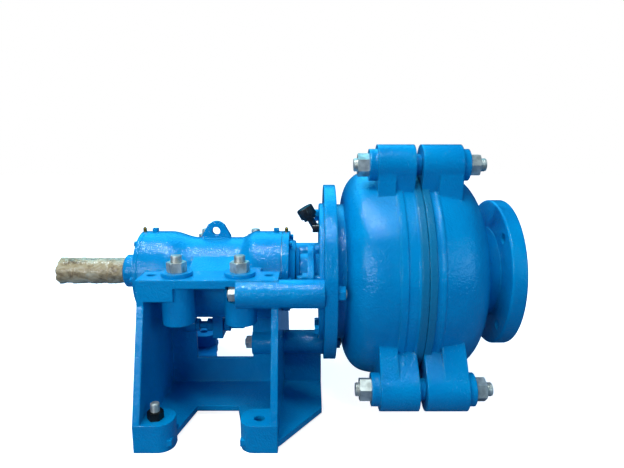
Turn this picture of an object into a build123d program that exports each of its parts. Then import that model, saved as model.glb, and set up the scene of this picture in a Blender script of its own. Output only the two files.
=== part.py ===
from build123d import *
import os
from math import atan2, cos, degrees, hypot, pi, radians, sin, sqrt

# Horizontal lined slurry pump with a split casing.
# Millimetres, +Z up, +X towards the intake flange. The origin lies on the ground
# at the centre of the foot-bolt pattern. Heights named za are above the shaft axis.

# Driving dimensions: where the shaft lies, and the clearances
AXIS_Z = 254.0
GAP = 0.3
FIT = 0.05
SCREW_TRAVEL = 1.5
BOLT_CLEARANCE = 1.0
BEYOND = 900.0

# Base frame
FRAME_HALF = 119.5
WALL = 12.0
WALL_TOP_Y = 162.0
FOOT_HALF_WIDTH = 220.0
FOOT_EDGE = 25.0
FOOT_HOLE_R = 9.0
FOOT_PAD_R = 32.0
FOOT_CORNER = 25.0
FOOT_HEIGHT = 49.0
FLARE_TOP = 235.0
WEB = 10.0
WEB_END = 194.5
BASE_LOW = 9.0
BASE_PLATE = 11.0
BASE_FRONT = 102.5
BASE_TAIL_FRONT = 108.0
NOTCH_SLOPE = 18.0
WINDOW_LEFT = -58.0
WINDOW_RIGHT = 56.0
WINDOW_BOTTOM = 70.4
TABLE_ZA = 26.0
TABLE_LIP = 15.0
APRON_ZA = -12.0
TROUGH_WALL = 12.0

# Clamp bolts that hold the bearing housing in its cradle
CLAMP_LEFT = -57.5
CLAMP_RIGHT = 51.5
CLAMP_Y = 128.5
CLAMP_BOSS_R = 28.0
CLAMP_BOSS_DEEP = 59.0
CLAMP_PAD_R = 17.0
CLAMP_PAD = 3.0
CLAMP_R = 10.0
CLAMP_AF = 30.0
CLAMP_NUT = 17.0
CLAMP_WASHER_R = 27.0
CLAMP_WASHER = 7.0
CLAMP_STICKS_OUT = 11.5
CLAMP_THREAD_DEEP = 60.0
SPARE_HOLE_INSET = 17.5
SPARE_HOLE_R = 7.5

# Struts between the base frame and the frame plate
STRUT_Y = 153.5
STRUT_R = 24.5
STRUT_START = 48.7
LOW_STRUT_START = 55.7
LOW_STRUT_ZA = -150.0
STUD_R = 8.0
STUD_AF = 24.0
STUD_NUT = 13.0
STUD_STICKS_OUT = 2.5

# Foot stud left in the near foot of the drive side
FOOT_STUD_TOP = 28.0
FOOT_NUT = 14.0

# Bearing housing
LAND_R = 79.0
WAIST_R = 67.0
HOUSING_LEFT = -146.5
HOUSING_RIGHT = 119.0
WAIST_LEFT = -45.0
WAIST_RIGHT = 35.0
LEFT_LAND_END = -100.0
RIGHT_LAND_START = 68.0
WING_LEFT = -88.0
WING_RIGHT = 84.0
WING_Y = 102.7
WING_EAR = 11.0
WING_EAR_HALF = 16.0
HOUSING_BORE_R = 46.0
LUG_LEFT = -21.5
LUG = 19.9
LUG_HALF_WIDTH = 20.0
LUG_DEEP = 134.7
EYE_X = -10.7
EYE_BASE = 56.0
EYE_TOP = 100.0
EYE_ZA = 81.0
EYE_R = 8.0
EYE_PLATE = 12.0
PLUG_LEFT = -129.5
PLUG_RIGHT = 106.8
PLUG_SIZE = 10.0
PLUG_HEAD = 7.0
PLUG_STEM_R = 5.0
PLUG_STEM = 9.0

# Adjusting screw under the housing
SCREW_ZA = -113.0
SCREW_LEFT = -72.0
SCREW_RIGHT = 40.0
SCREW_BOSS_R = 14.0
SCREW_BOSS_LEFT = -80.0
NUT_CHAMFER = 1.2

# Bearings, covers and labyrinths
RACE_R = 55.0
SEAT_R = 30.0
BEARING = 36.0
LEFT_BEARING = -133.0
RIGHT_BEARING = 67.0
ROLLER_PITCH_R = 42.5
ROLLER_R = 4.6
ROLLER_LENGTH = 26.0
ROLLER_TILT = 8.0
ROLLER_COUNT = 14
CAGE = 2.4
CAGE_RIM = 3.0
CAGE_GAP = 0.2
COVER = 8.0
PUMP_COVER = 14.0
PUMP_COVER_HUB_R = 63.0
PUMP_COVER_HUB = 11.4
COVER_SCREW_CIRCLE_R = 70.8
COVER_SCREW_R = 4.0
COVER_SCREW_AF = 10.0
COVER_SCREW_HEAD = 5.5
COVER_SCREW_DEEP = 20.0
COVER_SCREWS = 6
SMALL_HEAD = 12.0
SHIM = 0.8
LABYRINTH_R = 32.0
LABYRINTH_LEFT = -189.6
LABYRINTH_DISC = -158.0
LABYRINTH_DISC_R = 42.0
LABYRINTH_THICK = 2.5
LABYRINTH_NECK_R = 36.0
PUMP_LABYRINTH_R = 46.0
NIPPLE_R = 3.5
NIPPLE_HEIGHT = 9.0
NIPPLE_TIP = 2.7
NIPPLE_SINK = 4.0

# Shaft
SHAFT_LEFT = -321.3
SHAFT_R = 21.0
SHOULDER_R = 36.0
SLEEVE_SEAT_R = 27.5
NOSE_R = 25.0
KEY_WIDTH = 12.0
KEY_HEIGHT = 8.0
KEY_LENGTH = 70.0
KEY_FROM_END = 12.0
WRAP = 5.0
WRAP_RIGHT = -193.0

# Gland and shaft seal
SLEEVE_LEFT = 152.0
SLEEVE_R = 35.0
PACKING_DEEP = 11.0
PACKING_START = 206.0
PACKING_RING = 8.0
PACKING_COUNT = 4
LANTERN = 8.0
GLAND_FLANGE = 12.0
GLAND_RIM = 6.0
GLAND_EAR_R = 15.0
GLAND_STUD_DEEP = 22.0
GLAND_FLANGE_LEFT = 168.0
GLAND_STUD_OUT = 12.0
GLAND_STUD_R = 6.0
GLAND_AF = 19.0
GLAND_NUT = 10.0
GLAND_SLACK = 6.0
SEAL_LEFT = 189.0
SEAL_FLANGE = 9.0
SEAL_SPIGOT_R = 103.7
SEAL_SCREW_OUT = 15.3
SEAL_SCREW_CIRCLE_R = SEAL_SPIGOT_R + SEAL_SCREW_OUT
SEAL_FLANGE_RIM = 15.0
SEAL_FLANGE_R = SEAL_SCREW_CIRCLE_R + SEAL_FLANGE_RIM
SEAL_END = 296.0
CHAMBER_LEFT = 252.0
CHAMBER_WALL = 11.7
CHAMBER_R = SEAL_SPIGOT_R - CHAMBER_WALL
SEAL_SCREWS = 8
SEAL_SCREW_R = 5.0
SEAL_SCREW_AF = 17.0
SEAL_SCREW_HEAD = 8.0
SEAL_SCREW_DEEP = 16.0
EXPELLER_LEFT = 246.0
EXPELLER_DISC_LEFT = 268.0
EXPELLER_DISC = 10.0
EXPELLER_PLAY = 4.0
EXPELLER_R = CHAMBER_R - EXPELLER_PLAY
EXPELLER_HUB_R = 40.0
EXPELLER_VANES = 6
EXPELLER_VANE = 7.0

# Grease cup on the seal housing
CUP_Y = -65.0
CUP_ZA = 98.0
CUP_TILT = 30.0
CUP_ROOT = 6.0
CUP_STEM_R = 6.5
CUP_STEM = 22.0
CUP_SHOULDER = 3.0
CUP_HEIGHT = 16.0
CUP_ROOF = 2.5
CUP_R = 11.9
CUP_CAP_R = 15.5
CUP_CAP = 19.0
CUP_TRAVEL = 5.0

# Casing: the frame plate half and the cover plate half
PLATE_LEFT = 198.0
PLATE_RIM = 22.0
PLATE_R = 170.3
PLATE_NECK_R = 132.0
SHELL_LEFT = 236.0
SEAM_X = 369.0
SEAM_GAP = 1.0
OFF_Y = 24.0
OFF_ZA = -5.0
LIP_R = 208.0
LIP = 12.0
VALLEY_R = 203.0
RIDGE_FROM_SEAM = 46.0
RIDGE = 12.0
COVER_RIDGE_END = 30.0
CAVITY_R = 188.0
DOME_DEPTH = 125.0
NECK_LENGTH = 26.6
NECK_ROOT_R = 96.0
FLANGE_THICK = 27.7
FLANGE_R = 140.3
FLANGE_EDGE = 4.0
NECK_SINK = 12.0
FLANGE_NECK_R = 86.0
FLANGE_CIRCLE_R = 115.0
FLANGE_HOLE_R = 9.0
INTAKE_R = 51.0

# Ears and long casing bolts: how far outside the valley each stands, and its angle from straight up
EAR_PLACES = ((18.4, -16.8), (33.2, -135.0), (46.6, 59.9), (47.0, 143.1))
EARS = [
    ((VALLEY_R + out) * sin(radians(turn)), (VALLEY_R + out) * cos(radians(turn)))
    for out, turn in EAR_PLACES
]
EAR_R = 36.3
EAR_LEFT = 291.5
EAR_RIGHT = 440.0
EAR_GAP = 12.5
EAR_GAP_LEFT = 357.0
EAR_DISC_R = 28.3
EAR_DISC = 14.0
EAR_SPIGOT_R = 19.0
ARM_ROOT_HALF = 58.0
ARM_LIP_HALF = 40.0
ARM_SINK = 20.0
CASING_BOLT_R = 12.0
CASING_AF = 36.0
CASING_NUT = 20.0
CASING_BOLT_PAST_LEFT = 7.0
CASING_BOLT_PAST_RIGHT = 12.0

# Discharge branch
BRANCH_ZA = -80.0
BRANCH_END = 282.0
BRANCH_R = 64.0
BRANCH_FLANGE_R = 115.0
BRANCH_FLANGE = 25.0
BRANCH_CIRCLE_R = 95.0
BRANCH_HOLE_R = 9.0
BRANCH_LINER_R = 52.0
BRANCH_BORE_R = 38.0
BRANCH_START = 120.0

# Liners and impeller
LINER_WALL = 25.0
PASSAGE_HALF = 28.0
PASSAGE_R = 166.0
PASSAGE_FILLET = 18.0
INSERT_R = 137.0
HUB_R = 45.0
HUB_GAP = 3.0
SIDE_GAP = 4.0
IMPELLER_R = 122.5
SHROUD = 9.0
EYE_LIP = 7.0
IMPELLER_HUB_LEFT = 300.0
IMPELLER_EYE_R = 50.0
VANES = 5
VANE = 9.0
VANE_INNER_R = 40.0
VANE_WRAP = 105.0
THROAT_CONE_R = 112.0
THROAT_TUBE_R = 63.0
THROAT_CONE = 75.0
JOINT_RING = 9.0
JOINT_RING_R = 74.0
BRANCH_JOINT_R = 62.0

# Places that follow from the sizes above
FOOT_X = FRAME_HALF - FOOT_PAD_R
FOOT_Y = FOOT_HALF_WIDTH - FOOT_EDGE
SPARE_HOLE_X = FRAME_HALF - SPARE_HOLE_INSET
BOX_R = SLEEVE_R + PACKING_DEEP
GLAND_STUD_Y = BOX_R + GLAND_STUD_OUT
NECK_LEFT = SEAM_X + DOME_DEPTH
FLANGE_LEFT = NECK_LEFT + NECK_LENGTH
TROUGH_R = LAND_R + GAP
TROUGH_OUT_R = TROUGH_R + TROUGH_WALL
TABLE_Z = AXIS_Z + TABLE_ZA
CLAMP_THREAD_Z = TABLE_Z - CLAMP_THREAD_DEEP - TABLE_LIP
WING_UNDER_ZA = TABLE_ZA - TABLE_LIP
PLATE_RIGHT = PLATE_LEFT + PLATE_RIM
FLANGE_RIGHT = FLANGE_LEFT + FLANGE_THICK
LINER_LEFT = SEAM_X - PASSAGE_HALF - LINER_WALL
LINER_RIGHT = SEAM_X + PASSAGE_HALF + LINER_WALL
BRANCH_BORE_START = INSERT_R + LINER_WALL / 2
THROAT_CONE_END = LINER_RIGHT + THROAT_CONE
BORE_START = SEAL_SPIGOT_R + GAP
PACKING_END = PACKING_START + PACKING_RING * PACKING_COUNT
IMPELLER_LEFT = SEAM_X - PASSAGE_HALF + SIDE_GAP
IMPELLER_RIGHT = SEAM_X + PASSAGE_HALF - SIDE_GAP
HOUSING_DRIVE_END = HOUSING_LEFT - COVER
CENTRE_MIN = (Align.CENTER, Align.CENTER, Align.MIN)


def bar_x(x0, x1, r, y=0.0, za=0.0):
    """Round bar along X, at height za over the shaft axis."""
    return Pos(x0, y, AXIS_Z + za) * Rot(0, 90, 0) * Cylinder(r, x1 - x0, align=CENTRE_MIN)


def bar_z(x, y, z0, z1, r):
    """Upright round bar."""
    return Pos(x, y, z0) * Cylinder(r, z1 - z0, align=CENTRE_MIN)


def block(x0, x1, y0, y1, z0, z1):
    """Box between two corners."""
    return Pos(x0, y0, z0) * Box(x1 - x0, y1 - y0, z1 - z0, align=(Align.MIN,) * 3)


def turned(points, y=0.0, za=0.0):
    """Body turned about X from its half section of (x, radius) points."""
    section = Plane.XZ * Polygon(*points, align=None)
    return Pos(0, y, AXIS_Z + za) * revolve(section, Axis.X)


def hex_x(x0, x1, across, y, za, bore=0.0, turn=0.0):
    """Hexagon along X with a bore; all but small heads have their corners turned off."""
    length = x1 - x0
    corner = across / sqrt(3)
    prism = extrude(RegularPolygon(corner, 6), length)
    if across > SMALL_HEAD:
        edge = min(NUT_CHAMFER, length / 4)
        low = [(0, 0), (corner - edge, 0), (corner, edge)]
        high = [(corner, length - edge), (corner - edge, length), (0, length)]
        prism &= revolve(Plane.XZ * Polygon(*low, *high, align=None), Axis.Z)
    if bore:
        prism -= Cylinder(bore, length, align=CENTRE_MIN)
    return Pos(x0, y, AXIS_Z + za) * Rot(turn, 0, 0) * Rot(0, 90, 0) * prism


def hex_z(x, y, z0, z1, across, bore=0.0, turn=0.0):
    """Upright hexagon nut."""
    nut = Rot(0, -90, 0) * (Pos(0, 0, -AXIS_Z) * hex_x(0, z1 - z0, across, 0, 0, bore))
    return Pos(x, y, z0) * Rot(0, 0, turn) * nut


def mirrored(shape):
    """The shape and its copy on the other side of the shaft."""
    return shape + mirror(shape, Plane.XZ)


def separate(shapes):
    """Several solids that stay apart in one node."""
    solids = [solid for shape in shapes for solid in shape.solids()]
    return Compound(children=solids)


def around(count, radius, start=0.0):
    """Places (y, za, angle) on a circle about the shaft axis."""
    turns = [start + 360.0 * k / count for k in range(count)]
    return [(radius * cos(radians(a)), radius * sin(radians(a)), a) for a in turns]


def end_wall():
    """Cross wall that flares from the table down to the feet."""
    half = [
        (0, 0), (FOOT_HALF_WIDTH - 1, 0), (FOOT_HALF_WIDTH - 1, FOOT_HEIGHT),
        (WALL_TOP_Y, FLARE_TOP), (WALL_TOP_Y, TABLE_Z), (0, TABLE_Z),
    ]
    face = Plane.YZ * Polygon(*half, align=None)
    return mirrored(extrude(face, WALL))


def base_plate():
    """Low plate with a notch between the feet and a tail towards the casing."""
    inner = FOOT_X - FOOT_PAD_R + 1
    edge = FOOT_HALF_WIDTH - FOOT_CORNER / 5
    knee = FOOT_Y - 10
    notch = inner - NOTCH_SLOPE
    half = [
        (-FRAME_HALF, 0), (WEB_END, 0), (WEB_END, BASE_TAIL_FRONT), (FRAME_HALF + 2, edge), (inner, edge),
        (inner, knee), (notch, BASE_FRONT), (-notch, BASE_FRONT), (-inner, knee), (-inner, edge),
        (-FRAME_HALF, edge),
    ]
    plate = extrude(Polygon(*half, align=None), BASE_PLATE)
    return mirrored(Pos(0, 0, BASE_LOW) * plate)


def foot(side):
    """Foot pad with one round corner, at the drive side (-1) or pump side (+1)."""
    inner = FOOT_X - FOOT_PAD_R
    depth = FOOT_HALF_WIDTH - FOOT_Y + FOOT_PAD_R
    pad = extrude(Rectangle(FRAME_HALF - inner, depth, align=(Align.MIN, Align.MAX)), FOOT_HEIGHT)
    corner = pad.edges().filter_by(Axis.Z).sort_by(Axis.X)[:2]
    pad = fillet(corner, min(FOOT_CORNER, depth / 2 - 1))
    pad = Pos(inner, FOOT_HALF_WIDTH, 0) * pad
    return mirrored(pad if side > 0 else mirror(pad, Plane.YZ))


def central_web():
    """Upright web under the cradle, with its window and its tail."""
    top = AXIS_Z - TROUGH_R - TROUGH_WALL / 2
    web = block(-FRAME_HALF, FRAME_HALF, -WEB / 2, WEB / 2, 0, top)
    web -= block(WINDOW_LEFT, WINDOW_RIGHT, -WEB, WEB, WINDOW_BOTTOM, AXIS_Z)
    tail = block(FRAME_HALF - 1, WEB_END, -WEB / 2, WEB / 2, 0, AXIS_Z + LOW_STRUT_ZA)
    return web + tail + bar_x(SCREW_BOSS_LEFT, WINDOW_LEFT, SCREW_BOSS_R, 0, SCREW_ZA)


def table():
    """Top plate with its lip, deeper aprons at the corners and clamp bosses."""
    inner = TROUGH_R - 4
    plate = block(-FRAME_HALF, FRAME_HALF, inner, WALL_TOP_Y, TABLE_Z - TABLE_LIP, TABLE_Z)
    for x0, x1 in ((-FRAME_HALF, CLAMP_LEFT), (CLAMP_RIGHT, FRAME_HALF)):
        plate += block(x0, x1, WALL_TOP_Y - TABLE_LIP, WALL_TOP_Y, AXIS_Z + APRON_ZA, TABLE_Z)
    for x in (CLAMP_LEFT, CLAMP_RIGHT):
        low = AXIS_Z - CLAMP_BOSS_DEEP
        plate += bar_z(x, CLAMP_Y, low, TABLE_Z, CLAMP_BOSS_R)
        plate += bar_z(x, CLAMP_Y, low - CLAMP_PAD, low, CLAMP_PAD_R)
    return mirrored(plate)


def wing_pocket(extra):
    """Ledge space of the housing wings over the cradle, with room for their ears."""
    room = BOLT_CLEARANCE + SCREW_TRAVEL
    low = AXIS_Z + WING_UNDER_ZA
    pocket = block(-FRAME_HALF - 1, FRAME_HALF + 1, -WING_Y - GAP, WING_Y + GAP, low, TABLE_Z + extra)
    for x in (CLAMP_LEFT, CLAMP_RIGHT):
        reach = WING_Y + WING_EAR + GAP
        half = WING_EAR_HALF + room
        pocket += block(x - half, x + half, -reach, reach, low, TABLE_Z + extra)
    return pocket


def struts():
    """Three round struts cast with the frame that carry the casing."""
    relief = bar_x(SEAL_LEFT - BOLT_CLEARANCE, PLATE_LEFT + 1, SEAL_FLANGE_R + BOLT_CLEARANCE)
    upper = mirrored(bar_x(STRUT_START, PLATE_LEFT, STRUT_R, STRUT_Y, 0) - relief)
    return upper + (bar_x(LOW_STRUT_START, PLATE_LEFT, STRUT_R, 0, LOW_STRUT_ZA) - relief)


def frame_holes():
    """Every drilled hole and spot face of the base frame."""
    cut = bar_x(SCREW_LEFT, WINDOW_LEFT + 1, STUD_R + FIT, 0, SCREW_ZA)
    cut += bar_x(0, PLATE_LEFT + 1, STUD_R + BOLT_CLEARANCE, 0, LOW_STRUT_ZA)
    for side in (-1, 1):
        for x in (-FOOT_X, FOOT_X):
            cut += bar_z(x, side * FOOT_Y, -1, 2 * FOOT_HEIGHT, FOOT_HOLE_R)
        for x in (CLAMP_LEFT, CLAMP_RIGHT):
            cut += bar_z(x, side * CLAMP_Y, CLAMP_THREAD_Z, TABLE_Z + 1, CLAMP_R + FIT)
        for x in (-SPARE_HOLE_X, SPARE_HOLE_X):
            cut += bar_z(x, side * CLAMP_Y, TABLE_Z - TABLE_LIP - 1, TABLE_Z + 1, SPARE_HOLE_R)
        spot = STRUT_START - STUD_NUT - STUD_STICKS_OUT - 2
        cut += bar_x(spot, STRUT_START, STUD_AF * 0.7, side * STRUT_Y, 0)
        cut += bar_x(STRUT_START - 1, PLATE_LEFT + 1, STUD_R + BOLT_CLEARANCE, side * STRUT_Y, 0)
    return cut


def base_frame():
    """One casting: feet, walls, web, cradle trough, table and struts."""
    walls = [Pos(x, 0, 0) * end_wall() for x in (-FRAME_HALF, FRAME_HALF - WALL)]
    body = walls[0] + walls[1] + base_plate() + foot(-1) + foot(1) + table() + struts()
    trough = bar_x(-FRAME_HALF, FRAME_HALF, TROUGH_OUT_R)
    trough -= block(-FRAME_HALF, FRAME_HALF, -FOOT_Y, FOOT_Y, AXIS_Z + WING_UNDER_ZA, TABLE_Z + LAND_R)
    body = body + trough + central_web()
    body -= bar_x(-FRAME_HALF - 1, FRAME_HALF + 1, TROUGH_R)
    body -= wing_pocket(1)
    room = SCREW_TRAVEL + BOLT_CLEARANCE
    half = LUG_HALF_WIDTH + BOLT_CLEARANCE
    body -= block(LUG_LEFT - room, LUG_LEFT + LUG + room, -half, half, AXIS_Z - TROUGH_OUT_R - 5, AXIS_Z)
    return body - frame_holes()


def clamp_places():
    """Places (x, y) of the clamp bolts."""
    return [(x, side * CLAMP_Y) for x in (CLAMP_LEFT, CLAMP_RIGHT) for side in (-1, 1)]


def clamp_bolts():
    """Studs that clamp the bearing housing in its cradle."""
    nut_top = TABLE_Z + CLAMP_WASHER + CLAMP_NUT
    bolts = [bar_z(x, y, CLAMP_THREAD_Z, nut_top + CLAMP_STICKS_OUT, CLAMP_R) for x, y in clamp_places()]
    return separate([chamfer(bolt.edges().sort_by(Axis.Z)[-1], NUT_CHAMFER) for bolt in bolts])


def clamp_washers():
    """Thick washers whose rims hold the wings of the housing."""
    disc = Cylinder(CLAMP_WASHER_R, CLAMP_WASHER, align=CENTRE_MIN)
    disc -= Cylinder(CLAMP_R + GAP, 3 * CLAMP_WASHER)
    return separate([Pos(x, y, TABLE_Z) * disc for x, y in clamp_places()])


def clamp_nuts():
    """Nuts of the clamp bolts, each left as it was tightened."""
    low = TABLE_Z + CLAMP_WASHER
    turns = (12, 0, 20, 5)
    places = zip(clamp_places(), turns)
    return separate([hex_z(x, y, low, low + CLAMP_NUT, CLAMP_AF, CLAMP_R + FIT, t) for (x, y), t in places])


def strut_places():
    """Left end, y and za of each strut."""
    return [(STRUT_START, -STRUT_Y, 0), (STRUT_START, STRUT_Y, 0), (LOW_STRUT_START, 0, LOW_STRUT_ZA)]


def frame_plate_studs():
    """Studs through the struts and the frame plate."""
    past = STUD_NUT + STUD_STICKS_OUT
    return separate([bar_x(x - past, PLATE_RIGHT + past, STUD_R, y, za) for x, y, za in strut_places()])


def strut_nuts():
    """Nuts at the drive end of the struts."""
    bore = STUD_R + FIT
    return separate([hex_x(x - STUD_NUT, x, STUD_AF, y, za, bore, 15) for x, y, za in strut_places()])


def frame_plate_nuts():
    """Nuts behind the frame plate."""
    right = PLATE_RIGHT + STUD_NUT
    bore = STUD_R + FIT
    return separate([hex_x(PLATE_RIGHT, right, STUD_AF, y, za, bore) for _, y, za in strut_places()])


def foot_stud():
    """Foundation stud left in the near foot of the drive side."""
    stud = bar_z(-FOOT_X, -FOOT_Y, 0, FOOT_HEIGHT + FOOT_STUD_TOP, STUD_R)
    return chamfer(stud.edges().sort_by(Axis.Z)[-1], NUT_CHAMFER)


def foot_nut():
    """Nut of the foot stud."""
    return hex_z(-FOOT_X, -FOOT_Y, FOOT_HEIGHT, FOOT_HEIGHT + FOOT_NUT, STUD_AF, STUD_R + FIT, 10)


def housing_outline():
    """Half section of the housing barrel: two lands joined by a concave waist."""
    left = Spline((LEFT_LAND_END, LAND_R), (WAIST_LEFT, WAIST_R), tangents=((1, -0.05), (1, 0)))
    right = Spline((WAIST_RIGHT, WAIST_R), (RIGHT_LAND_START, LAND_R), tangents=((1, 0), (1, 0.05)))
    lines = [
        Polyline((HOUSING_LEFT, 0), (HOUSING_LEFT, LAND_R), (LEFT_LAND_END, LAND_R)), left,
        Line((WAIST_LEFT, WAIST_R), (WAIST_RIGHT, WAIST_R)), right,
        Polyline((RIGHT_LAND_START, LAND_R), (HOUSING_RIGHT, LAND_R), (HOUSING_RIGHT, 0), (HOUSING_LEFT, 0)),
    ]
    return Plane.XZ * make_face(lines)


def housing_wings():
    """Side ledges that the clamp washers hold, with an ear at each clamp."""
    low = AXIS_Z + WING_UNDER_ZA + GAP
    high = TABLE_Z - GAP
    wings = block(WING_LEFT, WING_RIGHT, -WING_Y, WING_Y, low, high)
    reach = WING_Y + WING_EAR
    for x in (CLAMP_LEFT, CLAMP_RIGHT):
        wings += block(x - WING_EAR_HALF, x + WING_EAR_HALF, -reach, reach, low, high)
    top = TABLE_ZA - GAP
    ramp = [(0, top), (WING_Y - 4, top), (WAIST_R * 0.72, WAIST_R * 0.64), (0, WAIST_R * 0.7)]
    ramp = Plane.YZ * Polygon(*ramp, align=None)
    slope = Pos(WAIST_LEFT, 0, AXIS_Z) * extrude(ramp, WAIST_RIGHT - WAIST_LEFT)
    return wings + mirrored(slope)


def lifting_eye():
    """Lifting lug on top of the waist."""
    half = EYE_BASE / 2
    lug = Polygon((-half, WAIST_R - 8), (half, WAIST_R - 8), (half, WAIST_R + 4),
                  (EYE_R * 1.9, EYE_TOP - 6), (-EYE_R * 1.9, EYE_TOP - 6), (-half, WAIST_R + 4), align=None)
    lug += Pos(0, EYE_ZA) * Circle(EYE_TOP - EYE_ZA)
    lug -= Pos(0, EYE_ZA) * Circle(EYE_R)
    plate = extrude(Plane.XZ * lug, EYE_PLATE / 2, both=True)
    return Pos(EYE_X, 0, AXIS_Z) * plate


def cover_screw_places():
    """Places (y, za, angle) of the bearing cover screws."""
    return around(COVER_SCREWS, COVER_SCREW_CIRCLE_R)


def bearing_housing():
    """Cartridge that holds both bearings and slides in the cradle."""
    body = Pos(0, 0, AXIS_Z) * revolve(housing_outline(), Axis.X)
    body += housing_wings()
    lug_top = AXIS_Z - WAIST_R + 10
    body += block(LUG_LEFT, LUG_LEFT + LUG, -LUG_HALF_WIDTH, LUG_HALF_WIDTH, AXIS_Z - LUG_DEEP, lug_top)
    body += lifting_eye()
    body -= bar_x(HOUSING_LEFT - 1, LEFT_BEARING + BEARING, RACE_R)
    body -= bar_x(RIGHT_BEARING, HOUSING_RIGHT + 1, RACE_R)
    body -= bar_x(HOUSING_LEFT, HOUSING_RIGHT, HOUSING_BORE_R)
    body -= bar_x(LUG_LEFT - 1, LUG_LEFT + LUG + 1, STUD_R + BOLT_CLEARANCE, 0, SCREW_ZA)
    for x in (PLUG_LEFT, PLUG_RIGHT):
        body -= bar_z(x, 0, AXIS_Z + LAND_R - PLUG_STEM, AXIS_Z + LAND_R + 5, PLUG_STEM_R)
    for y, za, _ in cover_screw_places():
        body -= bar_x(HOUSING_LEFT - 1, HOUSING_LEFT + COVER_SCREW_DEEP, COVER_SCREW_R, y, za)
        body -= bar_x(HOUSING_RIGHT - COVER_SCREW_DEEP, HOUSING_RIGHT + 1, COVER_SCREW_R, y, za)
    return body


def drive_end_cover():
    """Cover of the drive-side bearing with its locating spigot."""
    cover = bar_x(HOUSING_DRIVE_END, HOUSING_LEFT, LAND_R)
    cover -= bar_x(HOUSING_DRIVE_END - 1, 0, LABYRINTH_NECK_R + GAP)
    cover += turned([(HOUSING_LEFT, LABYRINTH_NECK_R + GAP), (HOUSING_LEFT, RACE_R),
                     (LEFT_BEARING, RACE_R), (LEFT_BEARING, RACE_R - 4),
                     (LEFT_BEARING - 5, LABYRINTH_NECK_R + 10), (LEFT_BEARING - 5, LABYRINTH_NECK_R + GAP)])
    return cover_drilled(cover, HOUSING_DRIVE_END, HOUSING_LEFT)


def cover_drilled(cover, x0, x1):
    """Cover with its screw holes and the hole of its grease nipple."""
    for y, za, _ in cover_screw_places():
        cover -= bar_x(x0 - 1, x1 + 1, COVER_SCREW_R + GAP, y, za)
    return cover - bar_z((x0 + x1) / 2, 0, AXIS_Z + LAND_R - NIPPLE_SINK, AXIS_Z + LAND_R + 5, NIPPLE_R)


def pump_end_cover():
    """Cover of the pump-side bearing with its hub and spigot."""
    left = HOUSING_RIGHT + SHIM
    right = HOUSING_RIGHT + PUMP_COVER
    bore = LABYRINTH_NECK_R + GAP
    spigot = RIGHT_BEARING + BEARING
    cover = turned([(left, bore), (left, LAND_R), (right, LAND_R), (right, PUMP_COVER_HUB_R),
                    (right + PUMP_COVER_HUB, PUMP_COVER_HUB_R - 3), (right + PUMP_COVER_HUB, bore)])
    cover += turned([(left, bore), (left, RACE_R), (spigot, RACE_R), (spigot, RACE_R - 4),
                     (spigot + 5, bore + 10), (spigot + 5, bore)])
    return cover_drilled(cover, left, right)


def cover_shims():
    """Shim ring that sets the bearing play under the pump-end cover."""
    shim = bar_x(HOUSING_RIGHT, HOUSING_RIGHT + SHIM, LAND_R)
    shim -= bar_x(HOUSING_RIGHT - 1, HOUSING_RIGHT + 2, RACE_R)
    for y, za, _ in cover_screw_places():
        shim -= bar_x(HOUSING_RIGHT - 1, HOUSING_RIGHT + 2, COVER_SCREW_R + GAP, y, za)
    return shim


def cover_screws():
    """Small hexagon screws of both bearing covers."""
    screws = []
    for y, za, turn in cover_screw_places():
        left = HOUSING_DRIVE_END
        head = hex_x(left - COVER_SCREW_HEAD, left, COVER_SCREW_AF, y, za, 0, turn)
        screws.append(head + bar_x(left, HOUSING_LEFT + COVER_SCREW_DEEP, COVER_SCREW_R, y, za))
        right = HOUSING_RIGHT + PUMP_COVER
        head = hex_x(right, right + COVER_SCREW_HEAD, COVER_SCREW_AF, y, za, 0, turn)
        screws.append(head + bar_x(HOUSING_RIGHT - COVER_SCREW_DEEP, right, COVER_SCREW_R, y, za))
    return separate(screws)


def grease_nipples():
    """Nipple on top of each bearing cover."""
    nipples = []
    middle = HOUSING_RIGHT + (SHIM + PUMP_COVER) / 2
    for x in (HOUSING_LEFT - COVER / 2, middle):
        neck = AXIS_Z + LAND_R + NIPPLE_HEIGHT - NIPPLE_TIP
        stem = bar_z(x, 0, AXIS_Z + LAND_R - NIPPLE_SINK, neck, NIPPLE_R)
        tip = Cone(NIPPLE_R, NIPPLE_R / 2, NIPPLE_TIP, align=CENTRE_MIN)
        nipples.append(stem + Pos(x, 0, neck) * tip)
    return separate(nipples)


def housing_plugs():
    """Square-headed plugs on top of the housing lands."""
    plugs = []
    seat = AXIS_Z + LAND_R
    for x in (PLUG_LEFT, PLUG_RIGHT):
        head = Pos(x, 0, seat) * Box(PLUG_SIZE, PLUG_SIZE, PLUG_HEAD, align=CENTRE_MIN)
        plugs.append(head + bar_z(x, 0, seat - PLUG_STEM, seat, PLUG_STEM_R))
    return separate(plugs)


def adjusting_screw():
    """Long stud on which the housing is moved."""
    return bar_x(SCREW_LEFT, SCREW_RIGHT, STUD_R, 0, SCREW_ZA)


def adjusting_nuts():
    """Nuts on both sides of the housing lug, turned to move the housing."""
    left = LUG_LEFT - GAP
    right = LUG_LEFT + LUG + GAP
    bore = STUD_R + FIT
    return separate([hex_x(left - STUD_NUT, left, STUD_AF, 0, SCREW_ZA, bore),
                     hex_x(right, right + STUD_NUT, STUD_AF, 0, SCREW_ZA, bore)])


def screw_locknut():
    """Nut that locks the adjusting screw in its boss on the web."""
    return hex_x(WINDOW_LEFT, WINDOW_LEFT + STUD_NUT * 0.6, STUD_AF, 0, SCREW_ZA, STUD_R + FIT)


def race_slope(offset):
    """Radii of the roller cone at both ends of a bearing, moved by offset."""
    rise = BEARING / 2 * sin(radians(ROLLER_TILT)) / cos(radians(ROLLER_TILT))
    shift = offset / cos(radians(ROLLER_TILT))
    return ROLLER_PITCH_R - rise + shift, ROLLER_PITCH_R + rise + shift


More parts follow.
